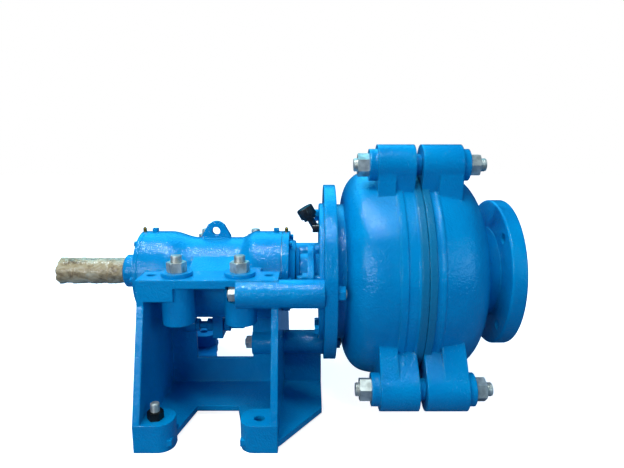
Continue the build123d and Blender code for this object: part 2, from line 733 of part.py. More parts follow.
def outer_race(x0, flip):
    """Outer race with its sloped track; flip turns it end for end."""
    small, large = race_slope(ROLLER_R + FIT)
    if flip:
        small, large = large, small
    return turned([(x0, small), (x0, RACE_R), (x0 + BEARING, RACE_R), (x0 + BEARING, large)])


def inner_race(x0, flip):
    """Inner race with its sloped track."""
    small, large = race_slope(-ROLLER_R - FIT)
    if flip:
        small, large = large, small
    return turned([(x0, SEAT_R + FIT), (x0, small), (x0 + BEARING, large), (x0 + BEARING, SEAT_R + FIT)])


def rollers_of(x0, flip, radius, length):
    """Ring of tilted rollers for one bearing."""
    tilt = -ROLLER_TILT if flip else ROLLER_TILT
    roller = Rot(0, 90 - tilt, 0) * Cylinder(radius, length)
    first = Pos(x0 + BEARING / 2, 0, ROLLER_PITCH_R) * roller
    return [Pos(0, 0, AXIS_Z) * Rot(angle, 0, 0) * first for _, _, angle in around(ROLLER_COUNT, 1)]


def roller_set(x0, flip):
    """The rollers of one bearing as separate solids."""
    return separate(rollers_of(x0, flip, ROLLER_R, ROLLER_LENGTH))


def cage(x0, flip):
    """Thin cone with a pocket for each roller."""
    half = ROLLER_LENGTH / 2 + CAGE_RIM
    rise = half * sin(radians(ROLLER_TILT)) * (-1 if flip else 1)
    middle = x0 + BEARING / 2
    low, high = ROLLER_PITCH_R - rise, ROLLER_PITCH_R + rise
    web = CAGE / 2
    ring = turned([(middle - half, low - web), (middle - half, low + web), (middle + half, high + web),
                   (middle + half, high - web)])
    for pocket in rollers_of(x0, flip, ROLLER_R + CAGE_GAP, ROLLER_LENGTH + 2 * CAGE_GAP):
        ring -= pocket
    return ring


def drive_labyrinth():
    """Sealing collar that turns with the shaft at the drive end."""
    disc = LABYRINTH_DISC
    bore = SLEEVE_SEAT_R + FIT
    end = disc + LABYRINTH_THICK
    return turned([
        (LABYRINTH_LEFT, bore), (LABYRINTH_LEFT, LABYRINTH_R - 2), (LABYRINTH_LEFT + 2, LABYRINTH_R),
        (disc, LABYRINTH_R), (disc, LABYRINTH_DISC_R), (end, LABYRINTH_DISC_R),
        (end, LABYRINTH_NECK_R), (LEFT_BEARING, LABYRINTH_NECK_R), (LEFT_BEARING, bore),
    ])


def pump_labyrinth():
    """Sealing collar between the pump-side bearing and the sleeve."""
    hub_end = HOUSING_RIGHT + PUMP_COVER + PUMP_COVER_HUB
    right = SLEEVE_LEFT
    bore = SLEEVE_SEAT_R + FIT
    start = hub_end + BOLT_CLEARANCE
    bearing = RIGHT_BEARING + BEARING
    return turned([(bearing, bore), (bearing, LABYRINTH_NECK_R), (start, LABYRINTH_NECK_R),
                   (start, PUMP_LABYRINTH_R), (right, PUMP_LABYRINTH_R - 3), (right, bore)])


def pump_shaft():
    """Stepped shaft from the drive end to the impeller thread."""
    end = IMPELLER_LEFT + SHROUD
    shaft = turned([
        (SHAFT_LEFT, 0), (SHAFT_LEFT, SHAFT_R - 2), (SHAFT_LEFT + 2, SHAFT_R), (LABYRINTH_LEFT, SHAFT_R),
        (LABYRINTH_LEFT, SLEEVE_SEAT_R), (LEFT_BEARING, SLEEVE_SEAT_R), (LEFT_BEARING, SEAT_R),
        (LEFT_BEARING + BEARING, SEAT_R), (LEFT_BEARING + BEARING, SHOULDER_R - 3),
        (RIGHT_BEARING, SHOULDER_R - 3), (RIGHT_BEARING, SEAT_R), (RIGHT_BEARING + BEARING, SEAT_R),
        (RIGHT_BEARING + BEARING, SLEEVE_SEAT_R), (IMPELLER_HUB_LEFT, SLEEVE_SEAT_R),
        (IMPELLER_HUB_LEFT, NOSE_R), (end, NOSE_R), (end, 0),
    ])
    return shaft - key_blank()


def key_blank():
    """Round-ended key on top of the drive end."""
    left = SHAFT_LEFT + KEY_FROM_END
    top = AXIS_Z + SHAFT_R + KEY_HEIGHT * 0.4
    outline = SlotOverall(KEY_LENGTH, KEY_WIDTH)
    return Pos(left + KEY_LENGTH / 2, 0, top - KEY_HEIGHT) * extrude(outline, KEY_HEIGHT)


def shaft_wrap():
    """Greased paper wound round the drive end against rust."""
    r = SHAFT_R + WRAP
    wrap = turned([
        (SHAFT_LEFT, SHAFT_R - 2 + FIT), (SHAFT_LEFT, r - 1), (SHAFT_LEFT + 4, r), (WRAP_RIGHT - 20, r),
        (WRAP_RIGHT, r + 2.5), (WRAP_RIGHT, SHAFT_R + FIT), (SHAFT_LEFT + 2, SHAFT_R + FIT),
    ])
    return wrap - key_blank()


def shaft_sleeve():
    """Hard sleeve that runs in the packing."""
    sleeve = bar_x(SLEEVE_LEFT, EXPELLER_LEFT, SLEEVE_R)
    return sleeve - bar_x(SLEEVE_LEFT - 1, EXPELLER_LEFT + 1, SLEEVE_SEAT_R + FIT)


def seal_housing():
    """Expeller ring: flange, stuffing box and expeller chamber in one turned piece."""
    bore = SLEEVE_R + 1
    back = PACKING_END + LANTERN
    body = turned([
        (SEAL_LEFT, BOX_R), (SEAL_LEFT, SEAL_FLANGE_R - 2), (SEAL_LEFT + 2, SEAL_FLANGE_R),
        (SEAL_LEFT + SEAL_FLANGE, SEAL_FLANGE_R), (SEAL_LEFT + SEAL_FLANGE, SEAL_SPIGOT_R),
        (SEAL_END, SEAL_SPIGOT_R), (SEAL_END, CHAMBER_R), (CHAMBER_LEFT, CHAMBER_R),
        (CHAMBER_LEFT, bore), (back, bore), (back, BOX_R),
    ])
    for y, za, _ in seal_screw_places():
        body -= bar_x(SEAL_LEFT - 1, SEAL_LEFT + SEAL_FLANGE + 1, SEAL_SCREW_R + GAP, y, za)
    for side in (-1, 1):
        body -= bar_x(SEAL_LEFT - 1, SEAL_LEFT + GLAND_STUD_DEEP, GLAND_STUD_R, side * GLAND_STUD_Y, 0)
    return body


def seal_screw_places():
    """Places (y, za, angle) of the seal housing screws."""
    return around(SEAL_SCREWS, SEAL_SCREW_CIRCLE_R, 11.25)


def seal_housing_screws():
    """Screws that hold the seal housing on the frame plate."""
    screws = []
    for y, za, turn in seal_screw_places():
        head = hex_x(SEAL_LEFT - SEAL_SCREW_HEAD, SEAL_LEFT, SEAL_SCREW_AF, y, za, 0, turn)
        end = SEAL_LEFT + SEAL_FLANGE + SEAL_SCREW_DEEP
        screws.append(head + bar_x(SEAL_LEFT, end, SEAL_SCREW_R, y, za))
    return separate(screws)


def packing_rings():
    """Rings of soft packing round the sleeve."""
    rings = []
    for k in range(PACKING_COUNT):
        x = PACKING_START + k * PACKING_RING
        bore = bar_x(x - 1, x + PACKING_RING + 1, SLEEVE_R + FIT * 1.6)
        rings.append(bar_x(x, x + PACKING_RING, BOX_R) - bore)
    return separate(rings)


def lantern_ring():
    """Grooved ring that spreads the seal water round the sleeve."""
    x0, x1 = PACKING_END, PACKING_END + LANTERN
    inner = SLEEVE_R + GAP
    waist = (BOX_R + inner) / 2 + 1
    return turned([
        (x0, inner), (x0, BOX_R), (x0 + 2, BOX_R), (x0 + 2, waist),
        (x1 - 2, waist), (x1 - 2, BOX_R), (x1, BOX_R), (x1, inner),
    ])


def gland():
    """Follower with an oval flange that presses the packing."""
    left, right = GLAND_FLANGE_LEFT, GLAND_FLANGE_LEFT + GLAND_FLANGE
    oval = Circle(BOX_R + GLAND_RIM)
    oval += [Pos(side * GLAND_STUD_Y, 0) * Circle(GLAND_EAR_R) for side in (-1, 1)]
    oval = make_hull(oval.edges())
    flange = Pos(left, 0, AXIS_Z) * (Plane.YZ * extrude(oval, GLAND_FLANGE))
    nose = bar_x(right - 1, PACKING_START - GAP, BOX_R - GAP)
    body = flange + nose - bar_x(left - 1, PACKING_START + 1, SLEEVE_R + GAP)
    for side in (-1, 1):
        body -= bar_x(left - 1, right + 1, GLAND_STUD_R + GAP, side * GLAND_STUD_Y, 0)
    return body


def gland_studs():
    """Studs that draw the gland in."""
    left = GLAND_FLANGE_LEFT - GLAND_SLACK - GLAND_NUT - 4
    right = SEAL_LEFT + GLAND_STUD_DEEP
    return separate([bar_x(left, right, GLAND_STUD_R, side * GLAND_STUD_Y, 0) for side in (-1, 1)])


def gland_nuts():
    """Nuts of the gland studs."""
    x1 = GLAND_FLANGE_LEFT
    bore = GLAND_STUD_R + FIT
    return separate([hex_x(x1 - GLAND_NUT, x1, GLAND_AF, s * GLAND_STUD_Y, 0, bore) for s in (-1, 1)])


def expeller():
    """Disc on the shaft whose back vanes pump the seal dry."""
    bore = SLEEVE_SEAT_R + FIT
    x0, x1 = EXPELLER_DISC_LEFT, EXPELLER_DISC_LEFT + EXPELLER_DISC
    body = turned([
        (EXPELLER_LEFT, bore), (EXPELLER_LEFT, SLEEVE_R - 1), (CHAMBER_LEFT + 3, SLEEVE_R - 1),
        (CHAMBER_LEFT + 3, EXPELLER_HUB_R), (x0, EXPELLER_HUB_R), (x0, EXPELLER_R), (x1, EXPELLER_R),
        (x1, EXPELLER_HUB_R + 4), (IMPELLER_HUB_LEFT, EXPELLER_HUB_R), (IMPELLER_HUB_LEFT, bore),
    ])
    vane = block(x0 - 10, x0, -EXPELLER_VANE / 2, EXPELLER_VANE / 2, EXPELLER_HUB_R - 3, EXPELLER_R - 2)
    for _, _, angle in around(EXPELLER_VANES, 1):
        body += Pos(0, 0, AXIS_Z) * Rot(angle, 0, 0) * vane
    return body


def cup_frame():
    """Plane at the cup's root with its normal along the tilted cup."""
    tilt = radians(CUP_TILT)
    origin = (SEAL_LEFT - CUP_ROOT, CUP_Y, AXIS_Z + CUP_ZA)
    return Plane(origin=origin, x_dir=(0, 1, 0), z_dir=(-sin(tilt), 0, cos(tilt)))


def grease_cup_body():
    """Stub, shoulder and threaded cup of the screw-down greaser."""
    root = bar_x(SEAL_LEFT - 2 * CUP_ROOT, SEAL_LEFT, CUP_STEM_R + 2, CUP_Y, CUP_ZA)
    stem = Cylinder(CUP_STEM_R, CUP_STEM, align=CENTRE_MIN)
    cup = Pos(0, 0, CUP_STEM - CUP_SHOULDER) * Cylinder(CUP_R, CUP_HEIGHT, align=CENTRE_MIN)
    body = cup_frame().location * (stem + cup)
    return (root + body) - half_space(SEAL_LEFT, BEYOND)


def grease_cup_cap():
    """Knurled cap that is screwed down to press the grease in."""
    low = CUP_STEM - CUP_SHOULDER + CUP_TRAVEL + GAP
    cap = Pos(0, 0, low) * Cylinder(CUP_CAP_R, CUP_CAP, align=CENTRE_MIN)
    inside = CUP_CAP - CUP_ROOF
    cap -= Pos(0, 0, low - 1) * Cylinder(CUP_R + GAP, inside + 1, align=CENTRE_MIN)
    return cup_frame().location * cap


def shell(points, rim):
    """Body turned about the offset axis from a smooth curve through points and a stepped rim."""
    first, last = points[0], points[-1]
    path = [Spline(*points), Polyline(last, *rim, (rim[-1][0], 0), (first[0], 0), first)]
    return Pos(0, OFF_Y, AXIS_Z + OFF_ZA) * revolve(Plane.XZ * make_face(path), Axis.X)


def frame_shell():
    """Drive-side shell: a full shoulder, then ridge, valley and lip at the seam."""
    ridge = SEAM_X - RIDGE_FROM_SEAM
    lip = SEAM_X - SEAM_GAP / 2
    depth = ridge - SHELL_LEFT
    shares = ((0, 0.73), (0.06, 0.82), (0.16, 0.895), (0.3, 0.95), (0.48, 0.98), (1, 1))
    curve = [(SHELL_LEFT + depth * x, VALLEY_R * r) for x, r in shares]
    rim = [(ridge, VALLEY_R + 3), (ridge + RIDGE, VALLEY_R + 3), (ridge + RIDGE + 2, VALLEY_R),
           (lip - LIP - 3, VALLEY_R), (lip - LIP, LIP_R), (lip, LIP_R)]
    return shell(curve, rim)


def cover_shell():
    """Intake-side dome, with lip, valley and ridge at the seam."""
    lip = SEAM_X + SEAM_GAP / 2
    start = SEAM_X + COVER_RIDGE_END
    depth = DOME_DEPTH - COVER_RIDGE_END
    shares = (
        (1, 0.5), (0.985, 0.62), (0.93, 0.74), (0.8, 0.85),
        (0.62, 0.925), (0.38, 0.97), (0.15, 0.99), (0, 1),
    )
    curve = [(start + depth * x, VALLEY_R * r) for x, r in shares]
    rim = [(start - 2, VALLEY_R + 2), (start - RIDGE + 6, VALLEY_R + 2), (start - RIDGE + 4, VALLEY_R),
           (lip + LIP + 2, VALLEY_R), (lip + LIP, LIP_R), (lip, LIP_R)]
    return shell(curve, rim)


def ear_arm(y, za, x0, x1, root_half):
    """Arm that carries an ear barrel and spreads into the shell."""
    reach = hypot(y - OFF_Y, za - OFF_ZA)
    root = CAVITY_R - ARM_SINK
    outline = Polygon((root, -root_half), (reach, -EAR_R), (reach, EAR_R), (root, root_half), align=None)
    arm = extrude(outline, x1 - x0)
    turn = degrees(atan2(za - OFF_ZA, y - OFF_Y))
    return Pos(x0, OFF_Y, AXIS_Z + OFF_ZA) * Rot(turn, 0, 0) * (Plane.YZ * arm)


def frame_ears():
    """Ears of the frame half, each with an end disc and a locating spigot."""
    ridge = SEAM_X - RIDGE_FROM_SEAM
    ears = None
    for y, za in EARS:
        ear = bar_x(EAR_LEFT, EAR_GAP_LEFT, EAR_R, y, za)
        ear += ear_arm(y, za, EAR_LEFT, ridge, ARM_ROOT_HALF)
        ear += ear_arm(y, za, ridge - 1, EAR_GAP_LEFT, ARM_LIP_HALF)
        ear += bar_x(EAR_LEFT - EAR_DISC, EAR_LEFT, EAR_DISC_R, y, za)
        ear += bar_x(EAR_GAP_LEFT - 1, EAR_GAP_LEFT + EAR_GAP - GAP, EAR_SPIGOT_R, y, za)
        ears = ear if ears is None else ears + ear
    return ears


def cover_ears():
    """Ears of the cover half, each with an end disc."""
    start = EAR_GAP_LEFT + EAR_GAP
    ridge = SEAM_X + COVER_RIDGE_END
    ears = None
    for y, za in EARS:
        ear = bar_x(start, EAR_RIGHT, EAR_R, y, za)
        ear += ear_arm(y, za, start, ridge + 1, ARM_LIP_HALF)
        ear += ear_arm(y, za, ridge, EAR_RIGHT, ARM_ROOT_HALF)
        ear += bar_x(EAR_RIGHT, EAR_RIGHT + EAR_DISC, EAR_DISC_R, y, za)
        ears = ear if ears is None else ears + ear
    return ears


def bar_y(y0, y1, r, x, za):
    """Round bar along Y."""
    return Pos(x, y0, AXIS_Z + za) * Rot(-90, 0, 0) * Cylinder(r, y1 - y0, align=CENTRE_MIN)


def branch_outside():
    """Discharge neck and flange, before it is split between the halves."""
    neck = bar_y(BRANCH_START, BRANCH_END, BRANCH_R, SEAM_X, BRANCH_ZA)
    return neck + bar_y(BRANCH_END - BRANCH_FLANGE, BRANCH_END, BRANCH_FLANGE_R, SEAM_X, BRANCH_ZA)


def branch_inside():
    """Room of the liner's branch, its joint ring and the flange holes."""
    room = bar_y(0, BRANCH_END + 1, BRANCH_LINER_R + GAP, SEAM_X, BRANCH_ZA)
    room += bar_y(BRANCH_END - JOINT_RING, BRANCH_END + 1, BRANCH_JOINT_R, SEAM_X, BRANCH_ZA)
    for a in (45, 135, 225, 315):
        x = SEAM_X + BRANCH_CIRCLE_R * cos(radians(a))
        za = BRANCH_ZA + BRANCH_CIRCLE_R * sin(radians(a))
        room += bar_y(BRANCH_END - BRANCH_FLANGE - 12, BRANCH_END + 1, BRANCH_HOLE_R, x, za)
    return room


def bolt_room():
    """Clearance holes of the long casing bolts."""
    holes = None
    for y, za in EARS:
        start = EAR_LEFT - 2 * EAR_DISC
        hole = bar_x(start, EAR_RIGHT + 2 * EAR_DISC, CASING_BOLT_R + BOLT_CLEARANCE, y, za)
        holes = hole if holes is None else holes + hole
    return holes


def half_space(x0, x1):
    """Slab wider than the pump, from x0 to x1."""
    return block(x0, x1, -BEYOND, BEYOND, -BEYOND, BEYOND)


def frame_plate():
    """Drive-side casing half with the round plate that the struts carry."""
    body = bar_x(PLATE_LEFT, PLATE_RIGHT, PLATE_R) + bar_x(PLATE_RIGHT, SHELL_LEFT + 1, PLATE_NECK_R)
    body += frame_shell()
    body += branch_outside() & half_space(0, SEAM_X - SEAM_GAP / 2)
    body += frame_ears()
    body -= bar_x(LINER_LEFT, SEAM_X + 1, CAVITY_R, OFF_Y, OFF_ZA)
    body -= bar_x(PLATE_LEFT - 1, LINER_LEFT + 1, BORE_START)
    body -= branch_inside() + bolt_room()
    for _, y, za in strut_places():
        body -= bar_x(PLATE_LEFT - 1, PLATE_RIGHT + 1, STUD_R + BOLT_CLEARANCE, y, za)
    for y, za, _ in seal_screw_places():
        body -= bar_x(PLATE_LEFT - 1, PLATE_LEFT + SEAL_SCREW_DEEP, SEAL_SCREW_R, y, za)
    return body


def intake_flange():
    """Round intake flange with rounded rim and its tapered neck."""
    rim = fillet(bar_x(FLANGE_LEFT, FLANGE_RIGHT, FLANGE_R).edges(), FLANGE_EDGE)
    root = NECK_LEFT - NECK_SINK
    neck = turned([(root, 0), (root, NECK_ROOT_R), (NECK_LEFT, NECK_ROOT_R), (FLANGE_LEFT, FLANGE_NECK_R),
                   (FLANGE_LEFT + 1, FLANGE_NECK_R), (FLANGE_LEFT + 1, 0)])
    return rim + neck


def throat_points(grow):
    """Outline of the throatbush behind its disc, made larger by grow."""
    cone, tube = THROAT_CONE_R + grow, THROAT_TUBE_R + grow
    end = FLANGE_RIGHT - JOINT_RING
    return [
        (LINER_RIGHT - 1, 0), (LINER_RIGHT - 1, cone), (LINER_RIGHT, cone),
        (THROAT_CONE_END, tube), (end, tube), (end, 0),
    ]


def cover_plate():
    """Intake-side casing half: dome, ears, neck and flange."""
    body = cover_shell() + intake_flange()
    body += branch_outside() & half_space(SEAM_X + SEAM_GAP / 2, BEYOND)
    body += cover_ears()
    body -= bar_x(SEAM_X, LINER_RIGHT, CAVITY_R, OFF_Y, OFF_ZA)
    body -= turned(throat_points(GAP))
    body -= bar_x(FLANGE_RIGHT - JOINT_RING, FLANGE_RIGHT + 1, JOINT_RING_R)
    body -= branch_inside() + bolt_room()
    for y, za, _ in around(4, FLANGE_CIRCLE_R, 45):
        body -= bar_x(FLANGE_LEFT - 1, FLANGE_RIGHT + 1, FLANGE_HOLE_R, y, za)
    return body


def casing_bolts():
    """Long bolts through the ears of both casing halves."""
    left = EAR_LEFT - EAR_DISC - CASING_NUT - CASING_BOLT_PAST_LEFT
    right = EAR_RIGHT + EAR_DISC + CASING_NUT + CASING_BOLT_PAST_RIGHT
    bolts = [bar_x(left, right, CASING_BOLT_R, y, za) for y, za in EARS]
    return separate([chamfer(bolt.edges().filter_by(GeomType.CIRCLE), NUT_CHAMFER) for bolt in bolts])


def casing_nuts():
    """Nut at each end of every casing bolt, each at the angle where it was left."""
    nuts = []
    left = EAR_LEFT - EAR_DISC
    right = EAR_RIGHT + EAR_DISC
    for k, (y, za) in enumerate(EARS):
        bore = CASING_BOLT_R + FIT
        nuts.append(hex_x(left - CASING_NUT, left, CASING_AF, y, za, bore, 11 * k))
        nuts.append(hex_x(right, right + CASING_NUT, CASING_AF, y, za, bore, 30 + 17 * k))
    return separate(nuts)


def volute_passage():
    """Rounded flow passage that the liner leaves round the impeller."""
    left, right = SEAM_X - PASSAGE_HALF, SEAM_X + PASSAGE_HALF
    ring = bar_x(left, right, PASSAGE_R, OFF_Y, OFF_ZA)
    return fillet(ring.edges().filter_by(GeomType.CIRCLE), PASSAGE_FILLET)


def volute_liner():
    """Thick wear liner with its flow passage and discharge tube."""
    body = bar_x(LINER_LEFT, LINER_RIGHT, CAVITY_R - GAP, OFF_Y, OFF_ZA)
    end = BRANCH_END - JOINT_RING
    body += bar_y(BRANCH_START, end, BRANCH_LINER_R, SEAM_X, BRANCH_ZA)
    body -= volute_passage()
    body -= bar_x(LINER_LEFT - 1, LINER_RIGHT + 1, INSERT_R)
    return body - bar_y(BRANCH_BORE_START, end + 1, BRANCH_BORE_R, SEAM_X, BRANCH_ZA)


def discharge_joint_ring():
    """Rubber joint ring in the discharge flange."""
    low = BRANCH_END - JOINT_RING
    ring = bar_y(low, BRANCH_END, BRANCH_JOINT_R - GAP, SEAM_X, BRANCH_ZA)
    return ring - bar_y(low - 1, BRANCH_END + 1, BRANCH_BORE_R, SEAM_X, BRANCH_ZA)


def intake_joint_ring():
    """Rubber joint ring in the intake flange."""
    low = FLANGE_RIGHT - JOINT_RING
    return bar_x(low, FLANGE_RIGHT, JOINT_RING_R - GAP) - bar_x(low - 1, FLANGE_RIGHT + 1, INTAKE_R)


def frame_plate_liner():
    """Back liner between the expeller chamber and the impeller."""
    bore = HUB_R + HUB_GAP
    right = SEAM_X - PASSAGE_HALF
    return turned([(SEAL_END, bore), (SEAL_END, SEAL_SPIGOT_R), (LINER_LEFT, SEAL_SPIGOT_R),
                   (LINER_LEFT, INSERT_R - GAP), (right, INSERT_R - GAP), (right, bore)])


def throatbush():
    """Front liner: disc, cone and intake tube in one piece."""
    left = SEAM_X + PASSAGE_HALF
    body = bar_x(left, LINER_RIGHT, INSERT_R - GAP) + turned(throat_points(0))
    return body - bar_x(left - 1, FLANGE_RIGHT, INTAKE_R)


def vane_section():
    """Backward-curved vane between its inner and outer radius, as a flat outline."""
    steps = 7
    outer = []
    inner = []
    for k in range(steps):
        share = k / (steps - 1)
        r = VANE_INNER_R + (IMPELLER_R - 1 - VANE_INNER_R) * share
        mean = -VANE_WRAP * share ** 0.85
        half = degrees(VANE / 2 / r) * (0.55 + 0.45 * sin(pi * share) + 0.35 * share)
        outer.append((r * cos(radians(mean + half)), r * sin(radians(mean + half))))
        inner.append((r * cos(radians(mean - half)), r * sin(radians(mean - half))))
    sides = [Spline(*outer), Line(outer[-1], inner[-1]), Spline(*reversed(inner)), Line(inner[0], outer[0])]
    return make_face(sides)


def impeller():
    """Closed impeller: two shrouds with curved vanes between them."""
    back = IMPELLER_LEFT + SHROUD
    front = IMPELLER_RIGHT - SHROUD
    body = turned([
        (IMPELLER_HUB_LEFT, NOSE_R + FIT), (IMPELLER_HUB_LEFT, HUB_R), (IMPELLER_LEFT, HUB_R),
        (IMPELLER_LEFT, IMPELLER_R), (back, IMPELLER_R), (back, HUB_R), (back + 8, NOSE_R - 5),
        (back + 14, 0), (back, 0), (back, NOSE_R + FIT),
    ])
    body += turned([(front, IMPELLER_EYE_R), (front, IMPELLER_R), (IMPELLER_RIGHT, IMPELLER_R),
                    (IMPELLER_RIGHT, IMPELLER_EYE_R + EYE_LIP), (IMPELLER_RIGHT, IMPELLER_EYE_R)])
    vane = Pos(back - 0.5, 0, 0) * (Plane.YZ * extrude(vane_section(), front - back + 1))
    for _, _, angle in around(VANES, 1):
        body += Pos(0, 0, AXIS_Z) * Rot(angle, 0, 0) * vane
    return body


NODES = {
    "base_frame": base_frame,
    "clamp_bolts": clamp_bolts,
    "clamp_washers": clamp_washers,
    "clamp_nuts": clamp_nuts,
    "frame_plate_studs": frame_plate_studs,
    "strut_nuts": strut_nuts,
    "frame_plate_nuts": frame_plate_nuts,
    "foot_stud": foot_stud,
    "foot_nut": foot_nut,
    "adjusting_screw": adjusting_screw,
    "screw_locknut": screw_locknut,
    "adjusting_nuts": adjusting_nuts,
    "bearing_housing": bearing_housing,
    "drive_end_cover": drive_end_cover,
    "pump_end_cover": pump_end_cover,
    "cover_shims": cover_shims,
    "cover_screws": cover_screws,
    "grease_nipples": grease_nipples,
    "housing_plugs": housing_plugs,
    "drive_outer_race": lambda: outer_race(LEFT_BEARING, False),
    "drive_inner_race": lambda: inner_race(LEFT_BEARING, False),
    "drive_rollers": lambda: roller_set(LEFT_BEARING, False),
    "drive_cage": lambda: cage(LEFT_BEARING, False),
    "pump_outer_race": lambda: outer_race(RIGHT_BEARING, True),
    "pump_inner_race": lambda: inner_race(RIGHT_BEARING, True),
    "pump_rollers": lambda: roller_set(RIGHT_BEARING, True),
    "pump_cage": lambda: cage(RIGHT_BEARING, True),
    "drive_labyrinth": drive_labyrinth,
    "pump_labyrinth": pump_labyrinth,
    "pump_shaft": pump_shaft,
    "shaft_key": key_blank,
    "shaft_wrap": shaft_wrap,
    "shaft_sleeve": shaft_sleeve,
    "seal_housing": seal_housing,
    "seal_housing_screws": seal_housing_screws,
    "packing_rings": packing_rings,
    "lantern_ring": lantern_ring,
    "gland": gland,
    "gland_studs": gland_studs,
    "gland_nuts": gland_nuts,
    "expeller": expeller,
    "grease_cup_body": grease_cup_body,
    "grease_cup_cap": grease_cup_cap,
    "frame_plate": frame_plate,
    "cover_plate": cover_plate,
    "casing_bolts": casing_bolts,
    "casing_nuts": casing_nuts,
    "volute_liner": volute_liner,
    "frame_plate_liner": frame_plate_liner,
    "throatbush": throatbush,
    "impeller": impeller,
    "intake_joint_ring": intake_joint_ring,
    "discharge_joint_ring": discharge_joint_ring,
}

os.makedirs("parts", exist_ok=True)
for node, make in NODES.items():
    export_step(make(), f"parts/{node}.step")
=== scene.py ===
import logging
import math
from dataclasses import dataclass
from enum import Enum
from typing import Iterable, Sequence

import bmesh
import bpy
from mathutils import Matrix, Vector, noise


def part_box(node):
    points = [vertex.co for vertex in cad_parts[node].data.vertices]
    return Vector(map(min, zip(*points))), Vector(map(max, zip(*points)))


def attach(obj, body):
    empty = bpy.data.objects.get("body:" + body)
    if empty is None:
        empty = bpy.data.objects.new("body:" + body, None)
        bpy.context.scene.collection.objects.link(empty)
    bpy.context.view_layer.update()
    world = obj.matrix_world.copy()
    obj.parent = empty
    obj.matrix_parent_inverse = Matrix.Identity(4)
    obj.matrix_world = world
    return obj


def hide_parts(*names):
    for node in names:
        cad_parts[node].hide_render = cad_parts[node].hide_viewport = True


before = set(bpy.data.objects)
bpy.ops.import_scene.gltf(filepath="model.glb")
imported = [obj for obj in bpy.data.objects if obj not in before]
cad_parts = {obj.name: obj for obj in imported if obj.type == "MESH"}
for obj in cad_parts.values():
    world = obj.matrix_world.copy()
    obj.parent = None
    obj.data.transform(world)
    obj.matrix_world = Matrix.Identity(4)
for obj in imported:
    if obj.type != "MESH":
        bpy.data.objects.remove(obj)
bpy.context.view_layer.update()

log = logging.getLogger("pump")
logging.basicConfig(level=logging.INFO, format="%(message)s")

Point = tuple[float, float, float]
MM = 0.001

# Middle of the casing's seam, and the reach of the two narrow lips that stand beside it.
CASING_MIDDLE: Point = (0.369, 0.024, 0.249)
LIP_HALF_WIDTH = 0.0135
LIP_INNER_R = 0.2055
LIP_OUTER_R = 0.2085

# Sockets of a Mix node that is set to colours.
MIX_A, MIX_B, MIX_RESULT = 6, 7, 2


class Axis(Enum):
    """Direction that a rod lies in, with the turn that lays an upright rod along it."""

    X = ((0, 0, 1), (0, 1, 0), (-1, 0, 0))
    Y = ((1, 0, 0), (0, 0, 1), (0, -1, 0))
    Z = ((1, 0, 0), (0, 1, 0), (0, 0, 1))


def linear(code: str) -> tuple[float, float, float, float]:
    """Turn an sRGB hex colour into linear light.

    Args:
        code: Colour as "#rrggbb".

    Returns:
        Linear red, green, blue and full alpha.
    """
    parts = [int(code[i:i + 2], 16) / 255 for i in (1, 3, 5)]
    red, green, blue = (p / 12.92 if p <= 0.04045 else ((p + 0.055) / 1.055) ** 2.4 for p in parts)
    return (red, green, blue, 1.0)


def per_mm(size: float) -> float:
    """Texture scale at which one feature of the pattern measures size millimetres."""
    return 1000.0 / size


def add(tree: bpy.types.NodeTree, kind: str, inputs: dict | None = None,
        **settings: object) -> bpy.types.Node:
    """Add a shader node with its settings, values and links.

    Args:
        tree: The material's node tree.
        kind: Node type name.
        inputs: Socket name or index to a value, or to an output socket that is linked.
        settings: Attributes of the node.

    Returns:
        The new node.
    """
    made = tree.nodes.new(kind)
    for name, value in settings.items():
        setattr(made, name, value)
    for key, value in (inputs or {}).items():
        if isinstance(value, bpy.types.NodeSocket):
            tree.links.new(value, made.inputs[key])
        else:
            made.inputs[key].default_value = value
    return made


def ramp(tree: bpy.types.NodeTree, source: bpy.types.NodeSocket,
         stops: Sequence[tuple[float, tuple]]) -> bpy.types.NodeSocket:
    """Colour ramp through the given stops.

    Args:
        tree: The material's node tree.
        source: Factor socket.
        stops: Position and linear colour of each stop.

    Returns:
        The colour output.
    """
    made = add(tree, "ShaderNodeValToRGB", {"Fac": source})
    band = made.color_ramp
    while len(band.elements) < len(stops):
        band.elements.new(0.5)
    for element, (place, colour) in zip(band.elements, stops):
        element.position = place
        element.color = colour
    return made.outputs["Color"]


def start(name: str) -> tuple[bpy.types.Material, bpy.types.NodeTree, bpy.types.NodeSocket]:
    """Start a material.

    Args:
        name: Name of the material.

    Returns:
        The material, its node tree and the socket of object coordinates.
    """
    made = bpy.data.materials.new(name)
    made.use_nodes = True
    tree = made.node_tree
    return made, tree, add(tree, "ShaderNodeTexCoord").outputs["Object"]


def finish_shader(tree: bpy.types.NodeTree, inputs: dict) -> None:
    """Set or link sockets of the material's own shader.

    Args:
        tree: The material's node tree.
        inputs: Socket name to a value, or to an output socket that is linked.
    """
    shader = tree.nodes["Principled BSDF"]
    for key, value in inputs.items():
        if isinstance(value, bpy.types.NodeSocket):
            tree.links.new(value, shader.inputs[key])
        else:
            shader.inputs[key].default_value = value


@dataclass(frozen=True)
class Relief:
    """One layer of unevenness in a surface: its width, its share and its height."""

    width_mm: float
    strength: float
    height_mm: float


